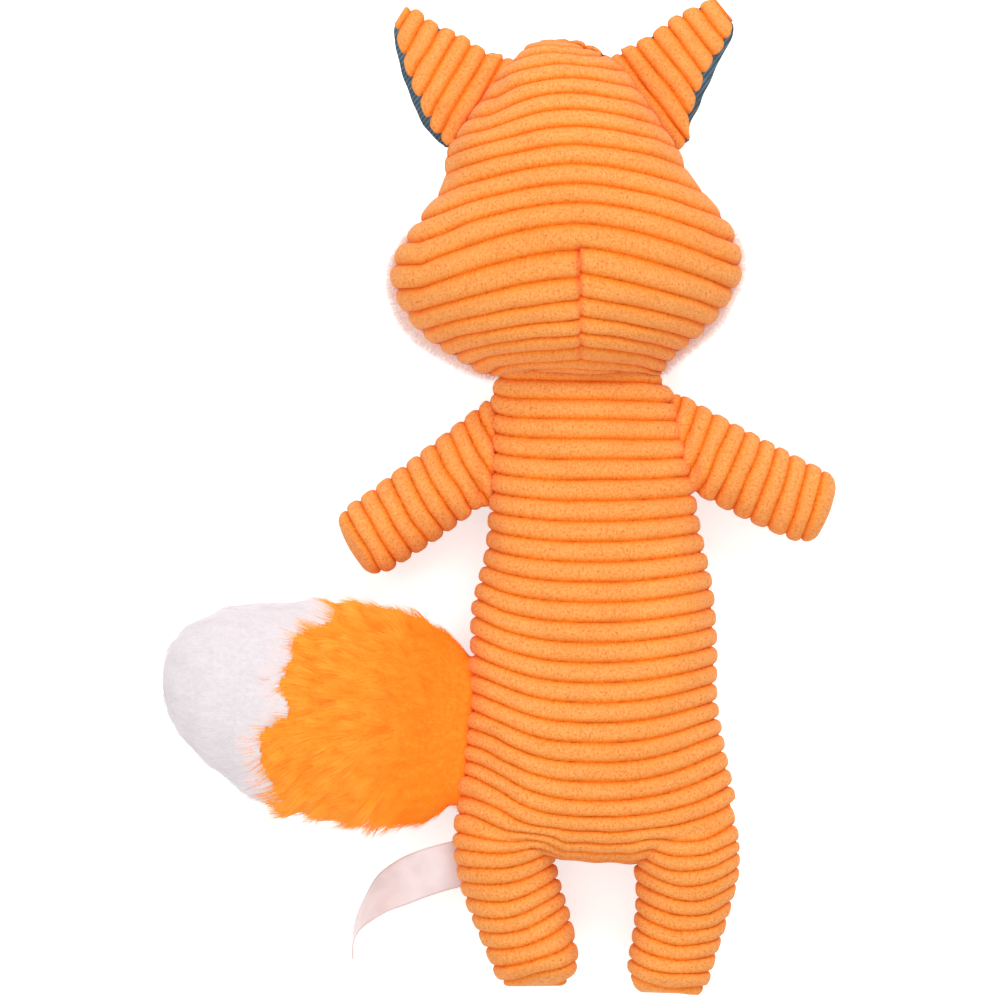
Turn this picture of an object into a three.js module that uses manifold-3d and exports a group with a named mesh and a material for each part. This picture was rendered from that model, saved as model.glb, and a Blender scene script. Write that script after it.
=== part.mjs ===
// A plush fox toy for dogs, lying on its front, in millimetres: +Y points to its head, +Z up from
// the surface that it lies on, and left and right are as seen from above, looking at its back.
import * as THREE from 'three';
import { mergeVertices } from 'three/addons/utils/BufferGeometryUtils.js';
import Module from 'manifold-3d';

const wasm = await Module();
wasm.setup();

// Driving dimensions of the cloth and the seams
const plush = 2.4;
const clearance = 0.3;
const cheekPile = 2.2;
const furDepth = 9;
const furAtSeam = 2.6;
const seamHeight = 23;
const flatDepth = 0.5;
const panelRoundness = 2.3;

// Driving dimensions of the torso: heights above the hip axis, and full widths and depths
const torso = {
  length: 134.5,
  lean: -4.6,
  hipWidth: 90.6,
  tuckHeight: 38, tuckWidth: 79.6,
  bellyHeight: 58, bellyWidth: 81.4,
  waistHeight: 86, waistWidth: 72,
  chestHeight: 105, chestWidth: 68,
  shoulderHeight: 129.5, shoulderWidth: 65,
  neckWidth: 57.4,
  hipDepth: 42.6,
  neckDepth: 35,
  backRise: 25,
};

// Driving dimensions of the head: heights above the neck axis
const head = {
  length: 118.2,
  neckShift: -1.8, jawShift: -7, cheekShift: -5.2, templeShift: -3.6, crownShift: -7.2,
  jawHeight: 17, jawWidth: 83,
  cheekHeight: 41.5, cheekWidth: 116,
  templeHeight: 71, templeWidth: 84.6,
  earLowHeight: 82.5, earLowWidth: 77,
  earHighHeight: 111.5, earHighWidth: 40,
  seamHeight: 38, jawSeamHeight: 29,
  chinDepth: 10, chinWidth: 46,
  crownWidth: 34, crownArch: 5, roundFrom: 103.5,
  backRise: 35,
  faceDrop: 26,
};
// Shares of the neck's depth at the chin and the neck axis, and of the full rise or drop above it
const headShares = { chin: 0.35, neck: 0.55, jaw: 0.82, ears: 0.93, crown: 0.77 };
const muzzle = { height: 36, width: 46, length: 36, depth: 14.4, lift: 2.2 };
const nose = { width: 17, length: 12, depth: 6.6, up: 8, lift: 0.2 };
const eye = { width: 9, length: 11.5, depth: 4.8, sunk: 0.2, height: 63, spacing: 42 };
const cheekTop = { atSide: 54, atMiddle: 41, bend: 25.5 };

// Driving dimensions of the limbs. Each taper lists shares of the length and of the width or depth.
const arms = { width: 27.4, depth: 26, rootDepth: 7.4, tipWidth: 21, tipLength: 7.8, lift: 0.6 };
const armDepths = [[0.16, 0.68], [0.38, 1], [1, 0.96]];
const armSides = {
  left: { side: -1, high: 128.5, low: 95.5, length: 48, angle: 39 },
  right: { side: 1, high: 131, low: 98.5, length: 46.2, angle: 36 },
};
const legs = { spread: 62.4, width: 33.4, depth: 35, tipLength: 7.5, tipWidth: 19, lift: 0.8, rootRadius: 6 };
const legWidths = [[0, 0.84], [0.17, 1], [0.4, 1], [1, 0.87]];
const legDepths = [[0, 1.08], [0.18, 1.08], [0.4, 1], [1, 0.886]];
const legSides = {
  left: { side: -1, length: 62.2, bend: 12 },
  right: { side: 1, length: 64.4, bend: 7 },
};
const ears = { low: 82, high: 111, depth: 8, rootDepth: 6.4, tipWidth: 5, tipLength: 4, hollow: 1.2 };
const earDepths = [[0.4, 1], [1, 0.64]];
const earSides = {
  left: { side: -1, length: 36, tipShift: 13 },
  right: { side: 1, length: 36, tipShift: 12 },
};
const lining = { show: 1.6, from: 10 };
const tail = {
  length: 97.3, width: 76, depth: 50, rootDepth: 9,
  high: 36, low: 3.5,
  tipLength: 16.5, tipWidth: 15,
  droop: 3, droopBy: 20, lift: 0.4,
  whiteAt: 58, whiteSlant: 11,
  fullPileAt: 30,
};
const tailWidths = [[0.05, 0.74], [0.2, 0.95], [0.45, 1], [0.65, 0.94], [0.8, 0.76], [1, 0.52]];
const tailDepths = [[0.1, 0.52], [0.3, 0.92], [0.5, 1], [0.8, 0.88], [1, 0.68]];
const label = {
  width: 15.6, thickness: 0.7, fromHip: 22, lift: 0.4,
  reach: 41, sweep: 24.5,
  straightBy: 0.38, bendBy: 0.95, bendSweep: 0.15,
  turnFrom: 0.15, turnBy: 0.95,
};

// Driving dimensions of the squeaker
const squeaker = {
  diameter: 44, depth: 23, wall: 1.3, height: 66,
  flatDiameter: 37, ridgeHeight: 5.7, waist: 2.1,
  slitLength: 22, slitHeight: 3,
};
const whistle = { diameter: 9, length: 7, flange: 13, flangeThickness: 1.2, bore: 6 };
const reed = { width: 3.4, length: 5.4, thickness: 0.5 };

// How far each joint turns each way, in degrees, which shapes the cuts at the neck and the hips
const neckRange = 28;
const hipRange = 40;

// The height under which a crease in a surface is smoothed away
const flatness = 0.04;

// Longer than the toy, for cutting solids
const farReach = 400;

// Facets
const torsoGrid = { across: 8, cap: 3 };
const headGrid = { across: 8, cap: 3 };
const limbGrid = { across: 6, along: 3, cap: 2, root: 2 };
const tailGrid = { across: 6, along: 5, cap: 3, root: 2 };
const earGrid = { across: 4, along: 2, cap: 2, root: 2 };
const labelGrid = { along: 12, across: 4 };
const swingSides = 16;
const domeSides = 12;
const hingeSamples = 24;
const squeakerSides = 24;

// The hip axis stands here, so that the origin lies under the middle of the toy
const hipAxis = { x: 32.3, y: -99.7 };

const orange = 0xff9f5a;
const white = 0xf1ebee;
const colours = {
  corduroy: [orange, 0.95],
  cheek: [white, 0.98],
  furOrange: [0xff9a35, 0.9],
  furWhite: [white, 0.9],
  navy: [0x35505f, 0.8],
  black: [0x1d1b1c, 0.6],
  satin: [0xf3dedf, 0.45],
  filling: [0xf7f5f0, 1],
  plastic: [0xe9ecec, 0.35],
};

const rad = THREE.MathUtils.degToRad;
const { lerp, smoothstep, clamp } = THREE.MathUtils;

// A smooth curve through named stations, each [position, value]
function through(stations) {
  const sorted = [...stations].sort((a, b) => a[0] - b[0]);
  const positions = sorted.map(([at]) => at);
  const curve = new THREE.CubicInterpolant(positions, sorted.map(([, value]) => value), 1);
  return (at) => curve.evaluate(clamp(at, positions[0], positions.at(-1)))[0];
}

// Half of a full width or depth along a limb, through shares of its length and of the full value
function taper(length, full, stations) {
  return through(stations.map(([along, share]) => [along * length, (share * full) / 2]));
}

// The height of a limb's seam, from the torso's seam down or up to its own
function seamTo(height, by) {
  return (l) => lerp(seamHeight, height, smoothstep(l, 0, by));
}

// The height of a panel's crown across its width, from 0 at either seam to 1 in the middle
function crown(u) {
  return Math.sqrt(Math.max(0, 1 - Math.abs(u) ** panelRoundness));
}

function spaced(count, place) {
  return Array.from({ length: count }, (_, i) => place(i / count));
}

// The grid of one panel: a row is a function of u that gives { x, y, seam, up, down }
function gridOf(rows, across, height) {
  return rows.map((row) =>
    Array.from({ length: across + 1 }, (_, i) => {
      const u = -Math.cos((Math.PI * i) / across);
      const point = row(u);
      return [point.x, point.y, point.seam + height(point)];
    }),
  );
}

function quad(list, a, b, c, d) {
  list.push(a, b, c, a, c, d);
}

function surface(list, grid, reverse) {
  for (let j = 0; j + 1 < grid.length; j++)
    for (let i = 0; i + 1 < grid[j].length; i++) {
      const [a, b, c, d] = [grid[j][i], grid[j][i + 1], grid[j + 1][i + 1], grid[j + 1][i]];
      // The same diagonal both ways, so that nested surfaces stay parallel
      if (reverse) list.push(a, c, b, a, d, c);
      else quad(list, a, b, c, d);
    }
}

function border(grid) {
  const last = grid.length - 1;
  const end = grid[0].length - 1;
  return [
    ...grid[0].slice(0, end),
    ...grid.slice(0, last).map((row) => row[end]),
    ...grid[last].slice(1).reverse(),
    ...grid.slice(1).reverse().map((row) => row[0]),
  ];
}

// A closed solid from a list of triangle corners, turned so that its faces point out
function solidFrom(corners) {
  const geometry = new THREE.BufferGeometry();
  geometry.setAttribute('position', new THREE.Float32BufferAttribute(corners.flat(), 3));
  return solidOf(geometry);
}

function solidOf(source) {
  const geometry = source.clone();
  geometry.deleteAttribute('normal');
  geometry.deleteAttribute('uv');
  const merged = mergeVertices(geometry, 1e-3);
  const points = merged.attributes.position.array;
  const index = merged.index.array;
  const faces = [];
  let volume = 0;
  const [a, b, c] = [new THREE.Vector3(), new THREE.Vector3(), new THREE.Vector3()];
  for (let i = 0; i < index.length; i += 3) {
    const [p, q, r] = [index[i], index[i + 1], index[i + 2]];
    if (p === q || q === r || r === p) continue;
    faces.push(p, q, r);
    a.fromArray(points, 3 * p);
    b.fromArray(points, 3 * q);
    c.fromArray(points, 3 * r);
    volume += a.dot(b.cross(c));
  }
  if (volume < 0) faces.reverse();
  const mesh = new wasm.Mesh({ numProp: 3, vertProperties: points, triVerts: new Uint32Array(faces) });
  return new wasm.Manifold(mesh);
}

// Half of a round form, from a clearance beside its seam to its surface on one side of the seam
function half(rows, across, upper) {
  const sign = upper ? 1 : -1;
  const rim = (sign * clearance) / 2;
  const curved = gridOf(rows, across, (point) => rim + (upper ? point.up : -point.down));
  const flat = gridOf(rows, across, () => rim);
  const list = [];
  surface(list, curved, false);
  surface(list, flat, true);
  const outside = border(curved);
  const inside = border(flat);
  outside.forEach((point, k) => {
    const next = (k + 1) % outside.length;
    quad(list, point, inside[k], inside[next], outside[next]);
  });
  return solidFrom(list);
}

// The full round form
function bag(rows, across) {
  const list = [];
  surface(list, gridOf(rows, across, (point) => point.up), false);
  surface(list, gridOf(rows, across, (point) => -point.down), true);
  return solidFrom(list);
}

// A turned solid, whose profile gives radius and height, stood along Z
function lathe(profile, sides) {
  const geometry = new THREE.LatheGeometry(profile.map(([r, h]) => new THREE.Vector2(r, h)), sides);
  return geometry.rotateX(Math.PI / 2);
}

function ellipsoid(width, length, depth, x, y, z) {
  const geometry = new THREE.SphereGeometry(0.5, domeSides, domeSides / 2);
  geometry.scale(width, length, depth);
  geometry.translate(x, y, z);
  return solidOf(geometry);
}

// The x of a form's side seam at a height, in the same straight stretches as the form's rows
function seamOf(rows, side) {
  const points = rows.map((row) => row(side));
  const stretches = points.slice(1).map((high, k) => [points[k], high]);
  const rising = stretches.filter(([low, high]) => high.y > low.y);
  return (y) => {
    const [low, high] = rising.find(([, end]) => y < end.y) ?? rising.at(-1);
    return lerp(low.x, high.x, (y - low.y) / (high.y - low.y));
  };
}

// Torso
const torsoHeights = [
  0,
  torso.tuckHeight / 2,
  torso.tuckHeight,
  torso.bellyHeight,
  (torso.bellyHeight + torso.waistHeight) / 2,
  torso.waistHeight,
  torso.chestHeight,
  torso.shoulderHeight,
  torso.length,
];
const torsoHalfWidth = through([
  [0, torso.hipWidth / 2],
  [torso.tuckHeight, torso.tuckWidth / 2],
  [torso.bellyHeight, torso.bellyWidth / 2],
  [torso.waistHeight, torso.waistWidth / 2],
  [torso.chestHeight, torso.chestWidth / 2],
  [torso.shoulderHeight, torso.shoulderWidth / 2],
  [torso.length, torso.neckWidth / 2],
]);
const torsoRise = through([
  [0, torso.hipDepth / 2],
  [torso.bellyHeight, torso.backRise],
  [torso.length, torso.neckDepth / 2],
]);
const torsoDrop = through([
  [0, torso.hipDepth / 2],
  [torso.bellyHeight, seamHeight + flatDepth],
  [torso.length, torso.neckDepth / 2],
]);
const torsoMiddle = (y) => torso.lean * (Math.max(0, y) / torso.length) ** 1.5;

// A row of a rounded end, which turns about an axis along X
function endRow({ x, y, halfWidth, radius }, angle, inset) {
  return (u) => {
    const r = (radius - inset) * crown(u);
    const height = r * Math.cos(angle);
    const across = x + u * (halfWidth - inset);
    return { x: across, y: y + r * Math.sin(angle), seam: seamHeight, up: height, down: height };
  };
}

const hipEnd = { x: 0, y: 0, halfWidth: torso.hipWidth / 2, radius: torso.hipDepth / 2 };
const neckEnd = {
  x: torsoMiddle(torso.length),
  y: torso.length,
  halfWidth: torso.neckWidth / 2,
  radius: torso.neckDepth / 2,
};

function torsoRows(inset) {
  const { cap } = torsoGrid;
  const quarter = Math.PI / 2;
  const low = spaced(cap, (k) => endRow(hipEnd, -quarter * (1 - k), inset));
  const high = spaced(cap, (k) => endRow(neckEnd, quarter * (k + 1 / cap), inset));
  const middle = torsoHeights.map((y) => (u) => ({
    x: torsoMiddle(y) + u * (torsoHalfWidth(y) - inset),
    y,
    seam: seamHeight,
    up: (torsoRise(y) - inset) * crown(u),
    down: (torsoDrop(y) - inset) * crown(u),
  }));
  return [...low, ...middle, ...high];
}

// The round end that a head or a leg swings on, grown by the clearance and by more for inner solids
function swingCutter(end, grow) {
  const reach = end.halfWidth + clearance + grow;
  const radius = (end.radius + clearance + grow) / Math.cos(Math.PI / swingSides);
  const steps = torsoGrid.across;
  const profile = Array.from({ length: steps + 1 }, (_, k) => {
    const u = -Math.cos((Math.PI * k) / steps);
    return [radius * crown(u), u * reach];
  });
  const geometry = lathe(profile, swingSides);
  geometry.rotateY(Math.PI / 2);
  geometry.translate(end.x, end.y, seamHeight);
  return solidOf(geometry);
}

// The wedge that keeps a swinging piece clear of the torso at its limits
function swingWedge(end, range, direction, grow) {
  const angle = rad(90 - range);
  const spread = farReach * Math.tan(angle);
  const shape = new THREE.Shape();
  shape.moveTo(0, 0);
  shape.lineTo(direction * farReach, spread);
  shape.lineTo(direction * farReach, -spread);
  shape.closePath();
  const geometry = new THREE.ExtrudeGeometry(shape, { depth: 2 * farReach, bevelEnabled: false });
  // The shape is drawn in Y and Z and pulled along X
  geometry.rotateX(Math.PI / 2);
  geometry.rotateZ(Math.PI / 2);
  geometry.translate(end.x - farReach, end.y + (direction * grow) / Math.sin(angle), seamHeight);
  return solidOf(geometry);
}

// How a swinging piece is cut to the torso's end: its outside, its hollow and its filling
function swingFit(end, range, direction) {
  return (solid, grow) =>
    solid.intersect(swingWedge(end, range, direction, grow)).subtract(swingCutter(end, grow));
}

// Head
const headHalfWidth = through([
  [0, head.chinWidth / 2],
  [(torso.neckDepth / 2) * Math.sin(rad(neckRange)), torso.neckWidth / 2],
  [head.jawHeight, head.jawWidth / 2],
  [head.cheekHeight, head.cheekWidth / 2],
  [head.templeHeight, head.templeWidth / 2],
  [head.earLowHeight, head.earLowWidth / 2],
  [head.earHighHeight, head.earHighWidth / 2],
  [head.length, head.crownWidth / 2],
]);
const headSeam = through([
  [0, seamHeight],
  [head.jawHeight, head.jawSeamHeight],
  [head.cheekHeight, head.seamHeight],
  [head.length, head.seamHeight],
]);
const headDepth = (full) => through([
  [-head.chinDepth, torso.neckDepth * headShares.chin],
  [0, torso.neckDepth * headShares.neck],
  [head.jawHeight, full * headShares.jaw],
  [head.cheekHeight, full],
  [head.earLowHeight, full * headShares.ears],
  [head.length, full * headShares.crown],
]);
const headRise = headDepth(head.backRise);
const headDrop = headDepth(head.faceDrop);
const headShift = through([
  [0, head.neckShift],
  [head.jawHeight, head.jawShift],
  [head.cheekHeight, head.cheekShift],
  [head.templeHeight, head.templeShift],
  [head.length, head.crownShift],
]);
const headMiddle = (h) => neckEnd.x + headShift(h);

const headHeights = [
  0,
  head.jawHeight / 2,
  head.jawHeight,
  (head.jawHeight + head.cheekHeight) / 2,
  head.cheekHeight,
  (head.cheekHeight + head.templeHeight) / 2,
  head.templeHeight,
  head.earLowHeight,
  head.roundFrom,
];

function headRows(inset) {
  const { cap } = headGrid;
  const row = (h, closing) => (u) => {
    const at = Math.max(0, h);
    const arch = head.crownArch * (at / head.length) ** 4 * u * u;
    const shrink = inset * Math.sin(closing) * Math.sign(h);
    return {
      x: headMiddle(at) + u * (headHalfWidth(h) - inset),
      y: neckEnd.y + h - shrink - arch,
      seam: headSeam(at),
      up: (headRise(h) - inset) * crown(u) * Math.cos(closing),
      down: (headDrop(h) - inset) * crown(u) * Math.cos(closing),
    };
  };
  const low = spaced(cap - 1, (k) => {
    const angle = (Math.PI / 2) * (1 - k);
    return row(-head.chinDepth * Math.sin(angle), angle);
  });
  const high = spaced(cap, (k) => {
    const angle = (Math.PI / 2) * (k + 1 / cap);
    return row(lerp(head.roundFrom, head.length, Math.sin(angle)), angle);
  });
  return [...low, ...headHeights.map((h) => row(h, 0)), ...high];
}

// A limb in its own frame: along its hinge and outwards from it, both in the seam's plane
function limbRows(spec, grid, inset) {
  const { origin, outward, length, rootRadius, path, halfWidth, rise, drop, seam, tipHalfWidth } = spec;
  const insetAt = typeof inset === 'function' ? inset : () => inset;
  const along = new THREE.Vector2(outward.y, -outward.x).multiplyScalar(spec.side);
  const tipLength = Math.min(spec.tipLength, length / 2);
  const heading = (l) => {
    const step = 1;
    const [s0, t0] = path(Math.max(0, l - step));
    const [s1, t1] = path(Math.max(0, l - step) + 2 * step);
    return Math.atan2(t1 - t0, s1 - s0);
  };
  const row = (l, closing, start) => (u) => {
    const skin = insetAt(Math.max(0, l));
    const turned = smoothstep(l, 0, length / 2);
    const angle = heading(l);
    const full = halfWidth(l) - skin;
    const tip = Math.min(tipHalfWidth, halfWidth(l)) - Math.min(skin, tipHalfWidth / 2);
    const half = lerp(tip, full, Math.cos(closing));
    const end = l - skin * Math.sin(closing);
    const [s, t] = start ? [-start * (rootRadius - skin), 0] : path(end);
    const ds = -Math.sin(angle) * turned * half * u;
    const dt = lerp(1 / Math.cos(heading(0)), Math.cos(angle), turned) * half * u;
    const thickness = crown(u) * (start === undefined ? Math.cos(closing) : Math.sqrt(1 - start * start));
    return {
      x: origin.x + outward.x * (s + ds) + along.x * (t + dt),
      y: origin.y + outward.y * (s + ds) + along.y * (t + dt),
      seam: seam(Math.max(0, l)),
      up: (rise(l) - skin) * thickness,
      down: (drop(l) - skin) * thickness,
    };
  };
  const bodyEnd = length - tipLength;
  return [
    ...spaced(grid.root, (k) => row(0, 0, Math.cos((Math.PI / 2) * k))),
    ...Array.from({ length: grid.along + 1 }, (_, k) => row((bodyEnd * k) / grid.along, 0)),
    ...spaced(grid.cap, (k) => {
      const angle = (Math.PI / 2) * (k + 1 / grid.cap);
      return row(bodyEnd + tipLength * Math.sin(angle), angle);
    }),
  ];
}

// A hinge that runs along a side seam between two heights, far enough out to turn clear of it
function seamHinge(seam, low, high, side, radius) {
  const bottom = new THREE.Vector2(seam(low), low);
  const top = new THREE.Vector2(seam(high), high);
  const chord = top.clone().sub(bottom).normalize();
  const outward = new THREE.Vector2(chord.y, -chord.x).multiplyScalar(side);
  let bulge = 0;
  for (let k = 0; k <= hingeSamples; k++) {
    const y = lerp(low, high, k / hingeSamples);
    const offset = new THREE.Vector2(seam(y), y).sub(bottom).dot(outward);
    bulge = Math.max(bulge, offset);
  }
  const origin = bottom.clone().add(top).multiplyScalar(0.5);
  origin.addScaledVector(outward, bulge + radius + clearance);
  return { origin, outward, side, chord, halfRoot: bottom.distanceTo(top) / 2 };
}

// Arms
function armSpec({ side, high, low, length, angle }) {
  const rootRadius = arms.rootDepth / 2;
  const hinge = seamHinge(seamOf(torsoRows(0), side), low, high, side, rootRadius);
  const lean = rad(angle);
  const thick = taper(length, arms.depth, [[0, arms.rootDepth / arms.depth], ...armDepths]);
  return {
    ...hinge,
    length,
    rootRadius,
    tipLength: arms.tipLength,
    tipHalfWidth: arms.tipWidth / 2,
    path: (l) => [l * Math.cos(lean), l * Math.sin(lean)],
    halfWidth: () => arms.width / 2,
    rise: thick,
    drop: thick,
    seam: seamTo(arms.depth / 2 + arms.lift, length * 0.8),
  };
}

// Legs, whose tops are cut to the torso's round end
function legSpec({ side, length, bend }) {
  const thick = taper(length, legs.depth, legDepths);
  const footDepth = 2 * thick(length);
  return {
    origin: new THREE.Vector2((side * legs.spread) / 2, 0),
    outward: new THREE.Vector2(0, -1),
    side: -1,
    length,
    rootRadius: legs.rootRadius,
    tipLength: legs.tipLength,
    tipHalfWidth: legs.tipWidth / 2,
    path: (l) => [l, -side * bend * (Math.max(0, l) / length) ** 1.5],
    halfWidth: taper(length, legs.width, legWidths),
    rise: thick,
    drop: thick,
    seam: seamTo(footDepth / 2 + legs.lift, length * 0.8),
  };
}

// Ears
function earSpec({ side, length, tipShift }) {
  const rootRadius = ears.rootDepth / 2;
  const seam = seamOf(headRows(0), side);
  const hinge = seamHinge(seam, neckEnd.y + ears.low, neckEnd.y + ears.high, side, rootRadius);
  const thick = taper(length, ears.depth, [[0, ears.rootDepth / ears.depth], ...earDepths]);
  return {
    ...hinge,
    length,
    rootRadius,
    tipLength: ears.tipLength,
    tipHalfWidth: ears.tipWidth / 4,
    path: (l) => [l, (-tipShift * l) / length],
    halfWidth: (l) => {
      const share = Math.max(0, l) / length;
      return lerp(hinge.halfRoot, ears.tipWidth / 2, share) - ears.hollow * Math.sin(Math.PI * share);
    },
    rise: thick,
    drop: thick,
    seam: () => head.seamHeight,
  };
}

// Tail
function tailSpec() {
  const rootRadius = tail.rootDepth / 2;
  const hinge = seamHinge(seamOf(torsoRows(0), -1), tail.low, tail.high, -1, rootRadius);
  const { length } = tail;
  const thick = taper(length, tail.depth, [[0, tail.rootDepth / tail.depth], ...tailDepths]);
  return {
    ...hinge,
    length,
    rootRadius,
    tipLength: tail.tipLength,
    tipHalfWidth: tail.tipWidth / 2,
    path: (l) => [l, -tail.droop * smoothstep(l, 0, tail.droopBy)],
    halfWidth: taper(length, tail.width, [[0, (2 * hinge.halfRoot) / tail.width], ...tailWidths]),
    rise: thick,
    drop: thick,
    seam: seamTo(tail.depth / 2 + tail.lift, length * 0.4),
  };
}

// A slab that fills the space past a line in the seam's plane, for cutting a piece in two
function halfSpace(origin, normal, offset) {
  const geometry = new THREE.BoxGeometry(farReach, farReach, farReach);
  geometry.translate(farReach / 2 + offset, 0, 0);
  geometry.rotateZ(Math.atan2(normal.y, normal.x));
  geometry.translate(origin.x, origin.y, seamHeight);
  return solidOf(geometry);
}

// The largest body, where a cut leaves a crumb beside it
function whole(solid) {
  const bodies = solid.decompose();
  return bodies.reduce((best, body) => (body.volume() > best.volume() ? body : best));
}

const group = new THREE.Group();

function add(name, solid, [colour, roughness]) {
  const body = whole(solid).simplify(flatness);
  const { vertProperties, triVerts, numProp } = body.getMesh();
  const positions = [];
  for (let i = 0; i < vertProperties.length; i += numProp)
    positions.push(vertProperties[i], vertProperties[i + 1], vertProperties[i + 2]);
  const geometry = new THREE.BufferGeometry();
  geometry.setAttribute('position', new THREE.Float32BufferAttribute(positions, 3));
  geometry.setIndex([...triVerts]);
  geometry.computeVertexNormals();
  const material = new THREE.MeshStandardMaterial({ color: colour, roughness, metalness: 0 });
  const mesh = new THREE.Mesh(geometry, material);
  mesh.name = name;
  group.add(mesh);
  return mesh;
}

// The torso's two panels, its filling and the squeaker in its pocket
const underFloor = new THREE.BoxGeometry(farReach, farReach, farReach);
underFloor.translate(0, 0, -farReach / 2);
const floor = solidOf(underFloor);
const fill = plush + clearance;

function makeTorso() {
  const { across } = torsoGrid;
  const hollow = bag(torsoRows(plush), across);
  const cloth = (upper) => half(torsoRows(0), across, upper).subtract(hollow);
  add('torso_back_panel', cloth(true), colours.corduroy);
  add('torso_front_panel', cloth(false).subtract(floor), colours.corduroy);

  const middle = torsoMiddle(squeaker.height);
  const { wall, waist, ridgeHeight } = squeaker;
  const rim = squeaker.depth / 2;
  const radius = squeaker.diameter / 2;
  const flat = squeaker.flatDiameter / 2;
  const inside = { radius: radius - wall, flat: flat - wall / 2, ridge: ridgeHeight - wall / 2 };
  const mouth = whistle.diameter / 2 + clearance;
  const bellows = lathe([
    [mouth, rim],
    [flat, rim],
    [radius, ridgeHeight],
    [radius - waist, 0],
    [radius, -ridgeHeight],
    [flat, -rim],
    [0, -rim],
    [0, wall - rim],
    [inside.flat, wall - rim],
    [inside.radius, -inside.ridge],
    [inside.radius - waist, 0],
    [inside.radius, inside.ridge],
    [inside.flat, rim - wall],
    [mouth, rim - wall],
    [mouth, rim],
  ], squeakerSides);
  const flangeAt = rim + clearance;
  const bore = whistle.bore / 2;
  const tube = lathe([
    [bore, rim - whistle.length],
    [whistle.diameter / 2, rim - whistle.length],
    [whistle.diameter / 2, flangeAt],
    [whistle.flange / 2, flangeAt],
    [whistle.flange / 2, flangeAt + whistle.flangeThickness],
    [bore, flangeAt + whistle.flangeThickness],
    [bore, rim - whistle.length],
  ], squeakerSides);
  // The reed stands in the bore, a clearance off its wall
  const chordDepth = Math.sqrt((bore * Math.cos(Math.PI / squeakerSides)) ** 2 - (reed.width / 2) ** 2);
  const strip = new THREE.BoxGeometry(reed.width, reed.thickness, reed.length);
  strip.translate(0, chordDepth - clearance - reed.thickness / 2, flangeAt - reed.length / 2);
  for (const geometry of [bellows, tube, strip]) geometry.translate(middle, squeaker.height, seamHeight);
  add('squeaker_bellows', solidOf(bellows), colours.plastic);
  add('squeaker_whistle', solidOf(tube), colours.plastic);
  add('squeaker_reed', solidOf(strip), colours.plastic);

  const pocketRadius = radius + clearance;
  const pocketTop = flangeAt + whistle.flangeThickness + clearance;
  const pocket = lathe([
    [0, -rim - clearance],
    [pocketRadius, -rim - clearance],
    [pocketRadius, rim + clearance],
    [whistle.flange / 2 + clearance, rim + clearance],
    [whistle.flange / 2 + clearance, pocketTop],
    [0, pocketTop],
  ], squeakerSides);
  pocket.translate(middle, squeaker.height, seamHeight);
  const slitWidth = torso.bellyWidth;
  const slit = new THREE.BoxGeometry(slitWidth, squeaker.slitLength, squeaker.slitHeight);
  slit.translate(middle + slitWidth / 2, squeaker.height, seamHeight);
  const stuffing = bag(torsoRows(fill), across).subtract(solidOf(pocket)).subtract(solidOf(slit));
  add('torso_filling', stuffing, colours.filling);
}

// The head's back panel, its face, and what is sewn on the face
function facePrism(side, grow) {
  const reach = head.cheekWidth;
  const x = headMiddle(muzzle.height);
  const shape = new THREE.Shape();
  const top = (h) => neckEnd.y + h + grow;
  const inner = x + side * (clearance / 2 - grow);
  shape.moveTo(inner, neckEnd.y - reach);
  shape.lineTo(inner, top(cheekTop.atMiddle));
  shape.quadraticCurveTo(
    x + side * cheekTop.bend,
    top(cheekTop.atSide),
    x + side * reach,
    top(cheekTop.atSide),
  );
  shape.lineTo(x + side * reach, neckEnd.y - reach);
  shape.closePath();
  const settings = { depth: farReach, bevelEnabled: false, curveSegments: domeSides / 2 };
  const geometry = new THREE.ExtrudeGeometry(shape, settings);
  geometry.translate(0, 0, -farReach / 2);
  return solidOf(geometry);
}

function makeHead() {
  const { across } = headGrid;
  const fit = swingFit(neckEnd, neckRange, 1);
  const hollow = fit(bag(headRows(plush), across), plush);
  const cloth = (pile, upper) => fit(half(headRows(-pile), across, upper), 0).subtract(hollow);
  add('head_back_panel', cloth(0, true), colours.corduroy);
  const furry = cloth(cheekPile, false);
  const sides = { left: -1, right: 1 };
  let forehead = cloth(0, false);
  for (const [name, side] of Object.entries(sides)) {
    add(`cheek_${name}`, furry.intersect(facePrism(side, 0)), colours.cheek);
    forehead = forehead.subtract(facePrism(side, clearance));
  }
  add('forehead_panel', forehead, colours.corduroy);
  add('head_filling', fit(bag(headRows(fill), across), fill), colours.filling);

  const skinOutside = bag(headRows(-cheekPile - clearance), across);
  const x = headMiddle(muzzle.height);
  const y = neckEnd.y + muzzle.height;
  const base = muzzle.lift + muzzle.depth;
  const dome = (t) => {
    const depth = 2 * (muzzle.depth - t);
    return ellipsoid(muzzle.width - 2 * t, muzzle.length - 2 * t, depth, x, y, base);
  };
  add('muzzle_panel', dome(0).subtract(dome(plush)).subtract(skinOutside), colours.cheek);
  add('muzzle_filling', dome(fill).subtract(skinOutside), colours.filling);

  const noseAt = nose.depth / 2 + nose.lift;
  const pad = ellipsoid(nose.width, nose.length, nose.depth, x, y + nose.up, noseAt);
  add('nose', pad.subtract(dome(-clearance)), colours.black);
  const onFace = bag(headRows(-clearance), across);
  for (const [name, side] of Object.entries(sides)) {
    const u = (eye.spacing / 2) / headHalfWidth(eye.height);
    const z = headSeam(eye.height) - headDrop(eye.height) * crown(u);
    const ex = headMiddle(eye.height) + (side * eye.spacing) / 2;
    const round = ellipsoid(eye.width, eye.length, eye.depth, ex, neckEnd.y + eye.height, z - eye.sunk);
    add(`eye_${name}`, round.subtract(onFace), colours.black);
  }
}

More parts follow.
